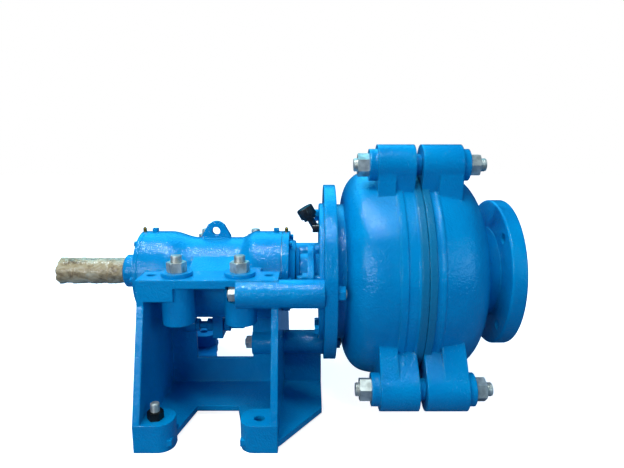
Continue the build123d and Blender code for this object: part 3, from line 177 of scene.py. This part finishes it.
@dataclass(frozen=True)
class Enamel:
    """Air-dried gloss enamel sprayed over rough cast iron.

    It gives a wet shine that breaks into glints over the sand-cast skin, paler paint on the edges,
    partly thin paint and partly a painted highlight, and a soft drift of tone over large faces.
    """

    name: str = "azure_enamel"
    colour: str = "#009dd4"
    deep: str = "#008bc4"
    # Paler colour on the edges: thinner paint there, and a painted highlight on them.
    edge: str = "#12b6ec"
    shine: str = "#0fa6ff"
    lip: str = ""
    roughness: float = 0.36
    smoother: float = 0.07
    rougher: float = 0.1
    coat: float = 0.7
    coat_roughness: float = 0.04
    ior: float = 1.5
    drift_mm: float = 70.0
    wear_mm: float = 9.0
    round_mm: float = 3.2
    # Uneven casting, sand skin and the paint's orange peel. Real peel is about 1.5 mm wide and is
    # drawn coarser, so that it shows.
    reliefs: tuple[Relief, ...] = (Relief(26.0, 0.4, 1.6), Relief(6.0, 1.0, 0.7),
                                   Relief(3.4, 1.0, 0.95))

    def on_lips(self, tree: bpy.types.NodeTree, place: bpy.types.NodeSocket) -> bpy.types.NodeSocket:
        """Mask of the two casing lips beside the seam.

        Args:
            tree: The material's node tree.
            place: Object coordinates.

        Returns:
            One on the lips and zero elsewhere.
        """
        middle_x, middle_y, middle_z = CASING_MIDDLE
        split = add(tree, "ShaderNodeSeparateXYZ", {"Vector": place})
        off = add(tree, "ShaderNodeMath", {0: split.outputs["X"], 1: middle_x}, operation="SUBTRACT")
        off = add(tree, "ShaderNodeMath", {0: off.outputs["Value"]}, operation="ABSOLUTE")
        beside = add(tree, "ShaderNodeMath", {0: off.outputs["Value"], 1: LIP_HALF_WIDTH},
                     operation="LESS_THAN")
        flat = add(tree, "ShaderNodeCombineXYZ", {"Y": split.outputs["Y"], "Z": split.outputs["Z"]})
        reach = add(tree, "ShaderNodeVectorMath",
                    {0: flat.outputs["Vector"], 1: (0, middle_y, middle_z)}, operation="DISTANCE")
        inside = add(tree, "ShaderNodeMath", {0: reach.outputs["Value"], 1: LIP_INNER_R},
                     operation="GREATER_THAN")
        under = add(tree, "ShaderNodeMath", {0: reach.outputs["Value"], 1: LIP_OUTER_R},
                    operation="LESS_THAN")
        both = add(tree, "ShaderNodeMath", {0: beside.outputs["Value"], 1: inside.outputs["Value"]},
                   operation="MULTIPLY")
        both = add(tree, "ShaderNodeMath", {0: both.outputs["Value"], 1: under.outputs["Value"]},
                   operation="MULTIPLY")
        return both.outputs["Value"]

    def thin_paint_and_highlight(self, tree: bpy.types.NodeTree, rounded: bpy.types.NodeSocket,
                   patchy: bpy.types.NodeSocket) -> bpy.types.NodeSocket:
        """Share of paler colour, partly thinner paint and partly a painted highlight, found where
        the rounded surface leaves the sharp one.

        Args:
            tree: The material's node tree.
            rounded: Normal with rounded edges.
            patchy: Noise that breaks the edges up.

        Returns:
            The share, zero on flat faces.
        """
        sharp = add(tree, "ShaderNodeNewGeometry").outputs["Normal"]
        apart = add(tree, "ShaderNodeVectorMath", {0: rounded, 1: sharp}, operation="DOT_PRODUCT")
        # Paler colour where the edge bends: thinner paint there, and a painted highlight on the
        # edge.
        bend = add(tree, "ShaderNodeMapRange", {"Value": apart.outputs["Value"], "From Min": 0.98,
                                                "From Max": 0.8, "To Min": 0.0, "To Max": 0.6})
        thin_and_highlit = add(tree, "ShaderNodeMath", {0: bend.outputs["Result"], 1: patchy},
                   operation="MULTIPLY")
        return thin_and_highlit.outputs["Value"]

    def build(self) -> bpy.types.Material:
        """Build the material.

        Returns:
            The material.
        """
        made, tree, place = start(self.name)
        drift = add(tree, "ShaderNodeTexNoise",
                    {"Vector": place, "Scale": per_mm(self.drift_mm), "Detail": 3.0})
        tone = ramp(tree, drift.outputs["Fac"],
                    [(0.3, linear(self.deep)), (0.7, linear(self.colour))])
        if self.lip:
            on_lip = add(tree, "ShaderNodeMix", {"Factor": self.on_lips(tree, place), MIX_A: tone,
                                                 MIX_B: linear(self.lip)}, data_type="RGBA")
            tone = on_lip.outputs[MIX_RESULT]
        rounded = add(tree, "ShaderNodeBevel", {"Radius": self.round_mm * MM}, samples=6)
        normal = rounded.outputs["Normal"]
        patchy = add(tree, "ShaderNodeTexNoise",
                     {"Vector": place, "Scale": per_mm(self.wear_mm), "Detail": 4.0}).outputs["Fac"]
        # Paler edge colour, partly thin paint and partly a painted highlight.
        mix = add(tree, "ShaderNodeMix", {"Factor": self.thin_paint_and_highlight(tree, normal, patchy),
                                          MIX_A: tone, MIX_B: linear(self.edge)}, data_type="RGBA")
        for relief in self.reliefs:
            grain = add(tree, "ShaderNodeTexNoise",
                        {"Vector": place, "Scale": per_mm(relief.width_mm), "Detail": 2.0})
            bump = add(tree, "ShaderNodeBump",
                       {"Height": grain.outputs["Fac"], "Strength": relief.strength,
                        "Distance": relief.height_mm * MM, "Normal": normal})
            normal = bump.outputs["Normal"]
        gloss = add(tree, "ShaderNodeMapRange", {"Value": patchy,
                                                 "To Min": self.roughness - self.smoother,
                                                 "To Max": self.roughness + self.rougher})
        finish_shader(tree, {
            "Base Color": mix.outputs[MIX_RESULT], "Roughness": gloss.outputs["Result"],
            "Normal": normal, "Coat Normal": normal, "Specular Tint": linear(self.shine),
            "Coat Weight": self.coat, "Coat Roughness": self.coat_roughness, "IOR": self.ior})
        return made


@dataclass(frozen=True)
class Metal:
    """Bare, plated or blackened steel and brass.

    Fine turning or plating grain in the gloss, cloudy patches of oxide and rounded worn edges.
    Real turning marks are about 0.3 mm apart and are drawn coarser, so that they show.
    """

    name: str
    colour: str
    stain: str
    roughness: float = 0.35
    metallic: float = 1.0
    grain_mm: float = 1.2
    cloud_mm: float = 14.0
    bump: float = 0.25
    bump_mm: float = 0.12
    round_mm: float = 0.6
    smoother: float = 0.08
    rougher: float = 0.14

    def build(self) -> bpy.types.Material:
        """Build the material.

        Returns:
            The material.
        """
        made, tree, place = start(self.name)
        cloud = add(tree, "ShaderNodeTexNoise",
                    {"Vector": place, "Scale": per_mm(self.cloud_mm), "Detail": 5.0})
        tone = ramp(tree, cloud.outputs["Fac"],
                    [(0.35, linear(self.stain)), (0.62, linear(self.colour))])
        grain = add(tree, "ShaderNodeTexNoise",
                    {"Vector": place, "Scale": per_mm(self.grain_mm), "Detail": 3.0}).outputs["Fac"]
        gloss = add(tree, "ShaderNodeMapRange", {"Value": grain,
                                                 "To Min": self.roughness - self.smoother,
                                                 "To Max": self.roughness + self.rougher})
        rounded = add(tree, "ShaderNodeBevel", {"Radius": self.round_mm * MM}, samples=4)
        bump = add(tree, "ShaderNodeBump",
                   {"Height": grain, "Strength": self.bump, "Distance": self.bump_mm * MM,
                    "Normal": rounded.outputs["Normal"]})
        finish_shader(tree, {"Base Color": tone, "Roughness": gloss.outputs["Result"],
                             "Normal": bump.outputs["Normal"], "Metallic": self.metallic})
        return made


@dataclass(frozen=True)
class Moulded:
    """Dull moulded rubber, plastic or braided yarn: one dark or pale body with a fine grain."""

    name: str
    colour: str
    pale: str
    roughness: float = 0.6
    grain_mm: float = 0.9
    coat: float = 0.0
    cloud_mm: float = 8.0
    bump: float = 0.3
    bump_mm: float = 0.2
    smoother: float = 0.1
    rougher: float = 0.12

    def build(self) -> bpy.types.Material:
        """Build the material.

        Returns:
            The material.
        """
        made, tree, place = start(self.name)
        cloud = add(tree, "ShaderNodeTexNoise",
                    {"Vector": place, "Scale": per_mm(self.cloud_mm), "Detail": 4.0}).outputs["Fac"]
        tone = ramp(tree, cloud, [(0.4, linear(self.colour)), (0.75, linear(self.pale))])
        grain = add(tree, "ShaderNodeTexNoise",
                    {"Vector": place, "Scale": per_mm(self.grain_mm), "Detail": 2.0})
        bump = add(tree, "ShaderNodeBump", {"Height": grain.outputs["Fac"], "Strength": self.bump,
                                            "Distance": self.bump_mm * MM})
        gloss = add(tree, "ShaderNodeMapRange", {"Value": cloud,
                                                 "To Min": self.roughness - self.smoother,
                                                 "To Max": self.roughness + self.rougher})
        finish_shader(tree, {"Base Color": tone, "Roughness": gloss.outputs["Result"],
                             "Normal": bump.outputs["Normal"], "Coat Weight": self.coat})
        return made


@dataclass(frozen=True)
class GreasedPaper:
    """Greased paper wound under clear film.

    Brown mottled paper shows through, with pale creases and a wet film shine over all.
    """

    name: str = "greased_paper"
    light: str = "#e8d4ac"
    mid: str = "#c0a274"
    dark: str = "#6c5030"
    blot_mm: float = 17.0
    stretch: Point = (0.6, 1.0, 1.0)
    crease_mm: float = 6.0
    crease: float = 0.5
    crease_height_mm: float = 0.6
    roughness: float = 0.42
    film: float = 0.35
    film_roughness: float = 0.2

    def build(self) -> bpy.types.Material:
        """Build the material.

        Returns:
            The material.
        """
        made, tree, place = start(self.name)
        drawn = add(tree, "ShaderNodeMapping", {"Vector": place, "Scale": self.stretch})
        blot = add(tree, "ShaderNodeTexNoise",
                   {"Vector": drawn.outputs["Vector"], "Scale": per_mm(self.blot_mm),
                    "Detail": 6.0, "Roughness": 0.65, "Distortion": 0.8})
        tone = ramp(tree, blot.outputs["Fac"], [(0.32, linear(self.dark)), (0.48, linear(self.mid)),
                                                (0.7, linear(self.light))])
        crease = add(tree, "ShaderNodeTexNoise",
                     {"Vector": place, "Scale": per_mm(self.crease_mm), "Detail": 5.0,
                      "Distortion": 2.0})
        bump = add(tree, "ShaderNodeBump",
                   {"Height": crease.outputs["Fac"], "Strength": self.crease,
                    "Distance": self.crease_height_mm * MM}).outputs["Normal"]
        finish_shader(tree, {"Base Color": tone, "Normal": bump, "Coat Normal": bump,
                             "Roughness": self.roughness, "Coat Weight": self.film,
                             "Coat Roughness": self.film_roughness})
        return made


class Finishes:
    """Every finish of the pump, built once."""

    def __init__(self) -> None:
        """Build the materials."""
        # Sprayed blue over everything the gun reached, bolts and nuts of the small parts included.
        self.enamel = Enamel().build()
        # The same coat on the big casing halves, softer at the edges and a darker teal on the lips.
        self.casing = Enamel(name="casing_enamel", lip="#187da3", round_mm=4.5).build()
        # Bright plated fasteners: a pale, slightly warm skin that is only partly metallic.
        self.zinc = Metal("zinc_plate", "#e6e2d4", "#b4b0a2", roughness=0.38, metallic=0.6).build()
        # Oil-blackened nut: almost black, with a greasy gleam.
        self.dark = Metal("blackened_steel", "#34332f", "#1d1c1a", roughness=0.42,
                          metallic=0.85).build()
        # Turned and ground steel of shaft and bearings: grey and sharp in its gloss.
        self.steel = Metal("turned_steel", "#a9a8a3", "#85837d", roughness=0.28).build()
        # Cast white iron of the wearing parts: dark, coarse and dull.
        self.iron = Metal("white_iron", "#5a5853", "#35322e", roughness=0.55, metallic=0.8,
                          grain_mm=2.0, cloud_mm=9.0, bump=0.6).build()
        # Turned brass of nipples and lantern ring: yellow with brown tarnish.
        self.brass = Metal("turned_brass", "#b98f43", "#7f5f2b", roughness=0.3).build()
        # Moulded rubber of the joint rings: black and flat.
        self.rubber = Moulded("moulded_rubber", "#171717", "#2b2a29", roughness=0.7).build()
        # Moulded plastic of the greaser: black with a soft gleam.
        self.plastic = Moulded("black_plastic", "#0c0c0d", "#1c1c1e", roughness=0.38,
                               grain_mm=0.7, coat=0.3).build()
        # Braided yarn of the packing rings: pale, woven and matt.
        self.yarn = Moulded("braided_yarn", "#b3a67e", "#d2c7a3", roughness=0.85,
                            grain_mm=1.6).build()
        # Greased paper and film round the shaft end: mottled brown under a wet shine.
        self.paper = GreasedPaper().build()


def dress(piece: bpy.types.Object, finish: bpy.types.Material) -> None:
    """Give a piece one finish all over."""
    piece.data.materials.clear()
    piece.data.materials.append(finish)


def dress_all(finish: bpy.types.Material, *nodes: str) -> None:
    """Give the named CAD nodes one finish."""
    for node in nodes:
        dress(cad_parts[node], finish)


def new_piece(name: str, mesh: bmesh.types.BMesh, finish: bpy.types.Material,
              smooth: float = 40.0) -> bpy.types.Object:
    """Turn a bmesh into an object of the scene.

    Args:
        name: Name of the piece.
        mesh: Its geometry, freed here.
        finish: Its material.
        smooth: Edges sharper than this many degrees stay hard.

    Returns:
        The new object.
    """
    data = bpy.data.meshes.new(name)
    mesh.to_mesh(data)
    mesh.free()
    piece = bpy.data.objects.new(name, data)
    bpy.context.scene.collection.objects.link(piece)
    data.shade_smooth()
    data.set_sharp_from_angle(angle=math.radians(smooth))
    dress(piece, finish)
    log.info("piece %s: %d faces", name, len(data.polygons))
    return piece


def on_circle(centre: Vector, radius: float, angle: float, x: float) -> Vector:
    """Point at an angle on a circle round the shaft's line, at place x along it."""
    return Vector((x, centre.y + radius * math.cos(angle), centre.z + radius * math.sin(angle)))


def islands(node: str) -> list[tuple[Vector, Vector]]:
    """Boxes of the separate solids of a CAD node.

    Args:
        node: Name of the node.

    Returns:
        Lowest and highest corner of each solid, ordered by place.
    """
    work = bmesh.new()
    work.from_mesh(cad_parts[node].data)
    bmesh.ops.remove_doubles(work, verts=work.verts, dist=0.01 * MM)
    seen: set[int] = set()
    boxes = []
    work.verts.ensure_lookup_table()
    for first in work.verts:
        if first.index in seen:
            continue
        stack, group = [first], []
        seen.add(first.index)
        while stack:
            vertex = stack.pop()
            group.append(vertex.co.copy())
            for edge in vertex.link_edges:
                other = edge.other_vert(vertex)
                if other.index not in seen:
                    seen.add(other.index)
                    stack.append(other)
        low = Vector([min(p[i] for p in group) for i in range(3)])
        high = Vector([max(p[i] for p in group) for i in range(3)])
        boxes.append((low, high))
    work.free()
    return sorted(boxes, key=lambda pair: tuple(round(v, 4) for v in pair[0]))


def lathe(work: bmesh.types.BMesh, rings: Iterable[Sequence[Vector]],
          closed_ends: bool = True) -> None:
    """Skin a chain of rings of equal length.

    Args:
        work: Mesh that takes the faces.
        rings: Points of each ring, in order.
        closed_ends: Whether the first and last ring get a cap.
    """
    chain = [[work.verts.new(p) for p in ring] for ring in rings]
    for one, two in zip(chain, chain[1:]):
        count = len(one)
        for k in range(count):
            after = (k + 1) % count
            work.faces.new((one[k], one[after], two[after], two[k]))
    if closed_ends:
        work.faces.new(list(reversed(chain[0])))
        work.faces.new(chain[-1])
    bmesh.ops.recalc_face_normals(work, faces=work.faces)


@dataclass
class ThreadedRods:
    """Studs and bolts with a real helical thread on their bare ends."""

    node: str
    body: str
    pitch_mm: float
    finish: bpy.types.Material
    thread_mm: float = 46.0
    sides: int = 20
    steps_per_pitch: int = 4
    groove_share: float = 0.3
    chamfer_mm: float = 1.4
    chamfer_drop_mm: float = 1.2
    hard_edge: float = 60.0

    def stations(self, length: float, thread: float) -> list[float]:
        """Places of the rings along a rod: close together on its threads, none on its plain part.

        Args:
            length: Length of the rod.
            thread: Length of the thread at each end.

        Returns:
            Distances from the rod's start.
        """
        step = self.pitch_mm * MM / self.steps_per_pitch
        places = [0.0]
        along = step
        while along < length:
            if thread < along < length - thread:
                along = length - thread
            places.append(along)
            along += step
        return [*places, length]

    def rod(self, work: bmesh.types.BMesh, low: Vector, high: Vector) -> None:
        """Skin one rod between the corners of its CAD solid.

        Args:
            work: Mesh that takes the faces.
            low: Lowest corner of the solid.
            high: Highest corner of the solid.
        """
        size = high - low
        axis = max(range(3), key=lambda i: size[i])
        radius = min(size) / 2
        length = size[axis]
        turn = Matrix(list(Axis)[axis].value)
        foot = (low + high) / 2
        foot[axis] = low[axis]
        pitch = self.pitch_mm * MM
        thread = min(self.thread_mm * MM, length / 2)
        rings = []
        for along in self.stations(length, thread):
            to_end = min(along, length - along)
            chamfer = max(0.0, 1 - to_end / (self.chamfer_mm * MM)) * self.chamfer_drop_mm * MM
            plain = thread < along < length - thread
            ring = []
            for k in range(self.sides):
                angle = 2 * math.pi * k / self.sides
                phase = (along / pitch - k / self.sides) % 1.0
                groove = 0.0 if plain else pitch * self.groove_share * abs(phase - 0.5) * 2
                r = radius - chamfer - groove
                ring.append(foot + turn @ Vector((r * math.cos(angle), r * math.sin(angle), along)))
            rings.append(ring)
        lathe(work, rings)

    def build(self) -> bpy.types.Object:
        """Build every rod of the node as one piece that stands for it.

        Returns:
            The piece.
        """
        work = bmesh.new()
        for low, high in islands(self.node):
            self.rod(work, low, high)
        piece = new_piece(f"{self.node}_threaded", work, self.finish, self.hard_edge)
        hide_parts(self.node)
        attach(piece, self.body)
        return piece


@dataclass
class ShaftWrapping:
    """Paper and film wound round the drive end, left open and ragged at the shaft end."""

    finish: bpy.types.Material
    around: int = 128
    along: int = 190
    wind_mm: float = 34.0
    ply_mm: float = 1.1
    spare_mm: float = 2.6
    crumple_mm: float = 1.1
    fine_crumple_mm: float = 0.55
    fold_mm: float = 0.5
    crumples_per_m: float = 55.0
    crumples_around: float = 1.5
    fine: float = 3.1
    folds: float = 1.7
    folds_seed: Point = (9, 4, 2)
    flare_mm: float = 16.0
    flare_lift_mm: float = 1.2
    flare_wave_mm: float = 1.6
    flare_waves: int = 5
    flare_turn: float = 1.2
    tuck_mm: float = 9.0
    tuck_depth_mm: float = 1.2
    rag_mm: float = 5.0
    rags_around: float = 2.2
    rags_seed: float = 5.0
    rag_fade: int = 6
    seat_mm: float = 21.3
    back_inset_mm: float = 0.4
    # Rings of the open mouth: inset in millimetres and share of the wall that is left.
    mouth: tuple[tuple[float, float], ...] = ((14.0, 0.0), (7.0, 0.2), (0.6, 0.5))
    hard_edge: float = 80.0

    def radius(self, x: float, angle: float, outer: float, from_end: float,
               to_collar: float) -> float:
        """Outer radius of the wrapping.

        Args:
            x: Place along the shaft.
            angle: Place round it.
            outer: Largest radius the wrapping may have.
            from_end: Distance from the ragged end.
            to_collar: Distance to the collar.

        Returns:
            Radius in metres.
        """
        turns = (x / (self.wind_mm * MM) + angle / (2 * math.pi)) % 1.0
        spot = Vector((x * self.crumples_per_m, math.cos(angle) * self.crumples_around,
                       math.sin(angle) * self.crumples_around))
        r = outer - self.spare_mm * MM - self.ply_mm * MM * turns
        r += self.crumple_mm * MM * noise.noise(spot)
        r += self.fine_crumple_mm * MM * noise.noise(spot * self.fine)
        fold = abs(noise.noise(spot * self.folds + Vector(self.folds_seed)))
        r -= self.fold_mm * MM * fold ** 0.5
        flare = max(0.0, 1 - from_end / (self.flare_mm * MM))
        wave = self.flare_wave_mm * math.sin(angle * self.flare_waves + self.flare_turn)
        r += flare ** 2 * MM * (self.flare_lift_mm * (1 - math.sin(angle)) + wave)
        tuck = max(0.0, 1 - to_collar / (self.tuck_mm * MM))
        r -= tuck * self.tuck_depth_mm * MM
        return min(r, outer)

    def ragged(self, angle: float) -> float:
        """How far the torn edge steps back at an angle round the shaft."""
        spot = Vector((math.cos(angle) * self.rags_around, math.sin(angle) * self.rags_around,
                       self.rags_seed))
        return self.rag_mm * MM * max(0.0, noise.noise(spot))

    def build(self) -> bpy.types.Object:
        """Build the wrapping over its plain CAD solid.

        Returns:
            The piece.
        """
        low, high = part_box("shaft_wrap")
        centre = (low + high) / 2
        outer = (high.z - low.z) / 2
        seat = self.seat_mm * MM
        angles = [2 * math.pi * k / self.around for k in range(self.around)]
        rags = [self.ragged(angle) for angle in angles]
        skin = []
        for i in range(self.along):
            share = i / (self.along - 1)
            ring = []
            for angle, rag in zip(angles, rags):
                x = low.x + rag * (1 - share) ** self.rag_fade + (high.x - low.x) * share
                r = self.radius(x, angle, outer, x - low.x, high.x - x)
                ring.append(on_circle(centre, r, angle, x))
            skin.append(ring)
        inner = []
        for inset, wall in self.mouth:
            ring = []
            for angle, rag, rim in zip(angles, rags, skin[0]):
                edge = math.hypot(rim.y - centre.y, rim.z - centre.z)
                r = seat + (edge - seat) * wall
                ring.append(on_circle(centre, r, angle, low.x + rag + inset * MM))
            inner.append(ring)
        back_x = high.x - self.back_inset_mm * MM
        back = [on_circle(centre, seat, angle, back_x) for angle in angles]
        work = bmesh.new()
        lathe(work, [*inner, *skin, back], closed_ends=False)
        piece = new_piece("wound_wrapping", work, self.finish, self.hard_edge)
        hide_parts("shaft_wrap")
        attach(piece, "shaft")
        return piece


@dataclass
class GreaseCap:
    """Knurled screw-down cap of the greaser, on its tilted axis."""

    finish: bpy.types.Material
    tilt: float = 30.0
    knurls: int = 30
    steps_per_knurl: int = 4
    knurl_share: float = 0.045
    radius_mm: float = 15.5
    # Height from the middle in millimetres and share of the radius; the knurls are where it is 1.
    profile: tuple[tuple[float, float], ...] = (
        (-9.5, 0.80), (-9.5, 0.95), (-8.3, 1.0), (7.1, 1.0),
        (8.8, 0.94), (9.5, 0.84), (9.0, 0.6), (9.0, 0.1))
    hard_edge: float = 35.0

    def build(self) -> bpy.types.Object:
        """Build the cap where its CAD solid is.

        Returns:
            The piece.
        """
        low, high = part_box("grease_cup_cap")
        centre = (low + high) / 2
        tilt = math.radians(self.tilt)
        turn = Vector((-math.sin(tilt), 0, math.cos(tilt))).to_track_quat("Z", "Y").to_matrix()
        radius = self.radius_mm * MM
        count = self.knurls * self.steps_per_knurl
        rings = []
        for along, share in self.profile:
            ring = []
            for k in range(count):
                angle = 2 * math.pi * k / count
                in_notch = share == 1.0 and k % self.steps_per_knurl in (0, 1)
                r = radius * (share - (self.knurl_share if in_notch else 0.0))
                spot = Vector((r * math.cos(angle), r * math.sin(angle), along * MM))
                ring.append(centre + turn @ spot)
            rings.append(ring)
        work = bmesh.new()
        lathe(work, rings)
        piece = new_piece("knurled_grease_cap", work, self.finish, self.hard_edge)
        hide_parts("grease_cup_cap")
        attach(piece, "grease_cap")
        return piece


@dataclass(frozen=True)
class Lamp:
    """One rectangular area lamp: where it hangs, its width and height, watts and colour."""

    name: str
    at: Point
    size: tuple[float, float]
    power: float
    tint: str


@dataclass
class Studio:
    """Pale floor, white surroundings, soft lamps and the camera."""

    eye: Point = (0.1762, -0.980, 0.5142)
    pitch: float = 10.75
    lens: float = 29.34
    sensor: float = 36.0
    near_clip: float = 0.01
    middle: Point = (0.12, 0.0, 0.25)
    floor_reach: float = 6.0
    floor_cells: int = 8
    floor_white: str = "#f4f4f4"
    floor_bounce: str = "#5c6f86"
    # The floor's own glow grows from the first value near the pump to the second further out.
    floor_glow: tuple[float, float] = (0.88, 1.1)
    glow_from: float = 0.35
    glow_to: float = 1.1
    ambient: Point = (0.08, 0.12, 0.26)
    mirrored: Point = (0.01, 0.07, 0.16)
    # A low wide window and a long tube overhead give the paint its glints; a broad bluish light
    # from behind and a weak one from the right soften the shade.
    lamps: tuple[Lamp, ...] = (
        Lamp("window", (-1.0, -2.0, 0.95), (1.5, 0.3), 19, "#e8f4ff"),
        Lamp("tube", (-0.32, -0.47, 2.1), (1.7, 0.1), 32, "#e2f6ff"),
        Lamp("sky", (-0.2, 1.3, 2.0), (1.8, 1.8), 34, "#40d0ff"),
        Lamp("fill", (1.9, -1.5, 0.9), (0.8, 0.8), 8, "#a8e4ff"))

    def floor(self) -> None:
        """Pale floor: white to the camera with a faint shadow, duller to the light it bounces."""
        work = bmesh.new()
        bmesh.ops.create_grid(work, x_segments=self.floor_cells, y_segments=self.floor_cells,
                              size=self.floor_reach)
        made, tree, place = start("pale_floor")
        tree.nodes.remove(tree.nodes["Principled BSDF"])
        path = add(tree, "ShaderNodeLightPath")
        dull = add(tree, "ShaderNodeBsdfDiffuse", {"Color": linear(self.floor_bounce)})
        pale = add(tree, "ShaderNodeBsdfDiffuse", {"Color": linear(self.floor_white)})
        away = add(tree, "ShaderNodeVectorMath", {0: place}, operation="LENGTH")
        near, far = self.floor_glow
        lift = add(tree, "ShaderNodeMapRange",
                   {"Value": away.outputs["Value"], "From Min": self.glow_from,
                    "From Max": self.glow_to, "To Min": near, "To Max": far})
        glow = add(tree, "ShaderNodeEmission",
                   {"Color": (1, 1, 1, 1), "Strength": lift.outputs["Result"]})
        white = add(tree, "ShaderNodeAddShader",
                    {0: pale.outputs["BSDF"], 1: glow.outputs["Emission"]})
        both = add(tree, "ShaderNodeMixShader",
                   {"Fac": path.outputs["Is Camera Ray"], 1: dull.outputs["BSDF"],
                    2: white.outputs["Shader"]})
        tree.links.new(both.outputs["Shader"], tree.nodes["Material Output"].inputs["Surface"])
        new_piece("floor", work, made)

    def world(self) -> None:
        """White to the camera, a deep blue room to everything else."""
        world = bpy.data.worlds.new("studio")
        bpy.context.scene.world = world
        world.use_nodes = True
        tree = world.node_tree
        path = add(tree, "ShaderNodeLightPath")
        seen = add(tree, "ShaderNodeMath", {0: path.outputs["Is Camera Ray"],
                                            1: path.outputs["Is Transmission Ray"]},
                   operation="MAXIMUM")
        room = add(tree, "ShaderNodeMix",
                   {"Factor": path.outputs["Is Glossy Ray"], MIX_A: (*self.ambient, 1),
                    MIX_B: (*self.mirrored, 1)}, data_type="RGBA")
        level = add(tree, "ShaderNodeMix",
                    {"Factor": seen.outputs["Value"], MIX_A: room.outputs[MIX_RESULT],
                     MIX_B: (1, 1, 1, 1)}, data_type="RGBA")
        tree.links.new(level.outputs[MIX_RESULT], tree.nodes["Background"].inputs["Color"])

    def hang(self, lamp: Lamp) -> None:
        """Hang one lamp so that it looks at the pump.

        Args:
            lamp: The lamp.
        """
        light = bpy.data.lights.new(lamp.name, "AREA")
        light.shape = "RECTANGLE"
        light.size, light.size_y = lamp.size
        light.energy = lamp.power
        light.color = linear(lamp.tint)[:3]
        hung = bpy.data.objects.new(lamp.name, light)
        bpy.context.scene.collection.objects.link(hung)
        hung.location = lamp.at
        aim = Vector(self.middle) - Vector(lamp.at)
        hung.rotation_euler = aim.to_track_quat("-Z", "Y").to_euler()

    def camera(self) -> None:
        """Camera at the photograph's place."""
        data = bpy.data.cameras.new("camera")
        data.lens = self.lens
        data.sensor_width = self.sensor
        data.clip_start = self.near_clip
        eye = bpy.data.objects.new("camera", data)
        bpy.context.scene.collection.objects.link(eye)
        eye.location = self.eye
        eye.rotation_euler = (math.radians(90 - self.pitch), 0, 0)
        bpy.context.scene.camera = eye

    def build(self) -> None:
        """Set the whole stage."""
        bpy.context.scene.view_settings.view_transform = "Standard"
        self.floor()
        self.world()
        for lamp in self.lamps:
            self.hang(lamp)
        self.camera()
        log.info("studio: %d lamps", len(self.lamps))


@dataclass
class BaseFrame:
    """The iron stand with its clamp bolts, strut studs and the stud in the near foot."""

    finishes: Finishes
    clamp_pitch_mm: float = 2.5
    stud_pitch_mm: float = 2.0
    strut_thread_mm: float = 24.0
    foot_thread_mm: float = 40.0

    def dress(self) -> None:
        """Paint the casting, washers and plate nuts, and leave the other fasteners plated."""
        dress_all(self.finishes.enamel, "base_frame", "clamp_washers", "frame_plate_nuts")
        dress_all(self.finishes.zinc, "clamp_bolts", "clamp_nuts", "frame_plate_studs",
                  "strut_nuts", "foot_stud")
        dress_all(self.finishes.dark, "foot_nut")

    def build(self) -> None:
        """Cut the threads of its studs and bolts."""
        zinc = self.finishes.zinc
        ThreadedRods("clamp_bolts", "frame", self.clamp_pitch_mm, zinc).build()
        ThreadedRods("frame_plate_studs", "frame", self.stud_pitch_mm, zinc,
                     self.strut_thread_mm).build()
        ThreadedRods("foot_stud", "frame", self.stud_pitch_mm, zinc, self.foot_thread_mm).build()


@dataclass
class BearingCartridge:
    """Bearing housing with its covers, bearings, shaft and wrapped shaft end."""

    finishes: Finishes
    screw_pitch_mm: float = 2.0
    screw_thread_mm: float = 110.0

    def dress(self) -> None:
        """Paint what the spray gun reached and leave the inside bare steel."""
        dress_all(self.finishes.enamel, "bearing_housing", "drive_end_cover", "pump_end_cover",
                  "cover_screws", "housing_plugs", "drive_labyrinth", "pump_labyrinth",
                  "adjusting_nuts", "screw_locknut")
        dress_all(self.finishes.steel, "pump_shaft", "shaft_key", "cover_shims")
        for end in ("drive", "pump"):
            dress_all(self.finishes.steel, f"{end}_outer_race", f"{end}_inner_race",
                      f"{end}_rollers", f"{end}_cage")
        dress_all(self.finishes.brass, "grease_nipples")

    def build(self) -> None:
        """Cut the adjusting screw's thread and wind the wrapping."""
        ThreadedRods("adjusting_screw", "frame", self.screw_pitch_mm, self.finishes.enamel,
                     self.screw_thread_mm).build()
        ShaftWrapping(self.finishes.paper).build()


@dataclass
class ShaftSeal:
    """Packed box round the shaft with its gland, expeller and greaser."""

    finishes: Finishes
    stud_pitch_mm: float = 1.75
    stud_thread_mm: float = 36.0

    def dress(self) -> None:
        """Paint the outside; packing, lantern ring and expeller keep their own faces."""
        dress_all(self.finishes.enamel, "seal_housing", "seal_housing_screws", "gland",
                  "gland_nuts", "shaft_sleeve")
        dress_all(self.finishes.yarn, "packing_rings")
        dress_all(self.finishes.brass, "lantern_ring")
        dress_all(self.finishes.iron, "expeller")
        dress_all(self.finishes.plastic, "grease_cup_body")

    def build(self) -> None:
        """Cut the gland studs' threads and turn the greaser's cap."""
        ThreadedRods("gland_studs", "frame", self.stud_pitch_mm, self.finishes.enamel,
                     self.stud_thread_mm).build()
        GreaseCap(self.finishes.plastic).build()


@dataclass
class WetEnd:
    """Split casing with its liners, impeller and long bolts."""

    finishes: Finishes
    bolt_pitch_mm: float = 3.0

    def dress(self) -> None:
        """Paint the casing halves, with darker teal lips beside the seam; the liners stay as cast.
        """
        dress_all(self.finishes.casing, "frame_plate", "cover_plate")
        dress_all(self.finishes.iron, "volute_liner", "frame_plate_liner", "throatbush", "impeller")
        dress_all(self.finishes.rubber, "intake_joint_ring", "discharge_joint_ring")
        dress_all(self.finishes.zinc, "casing_nuts")

    def build(self) -> None:
        """Cut the long bolts' threads."""
        ThreadedRods("casing_bolts", "frame", self.bolt_pitch_mm, self.finishes.zinc).build()


def main() -> None:
    """Build the studio and the pump's sub-assemblies in order."""
    Studio().build()
    finishes = Finishes()
    for group in (BaseFrame(finishes), BearingCartridge(finishes), ShaftSeal(finishes),
                  WetEnd(finishes)):
        group.dress()
        group.build()
        log.info("sub-assembly %s", type(group).__name__)


if __name__ == "__main__":
    main()
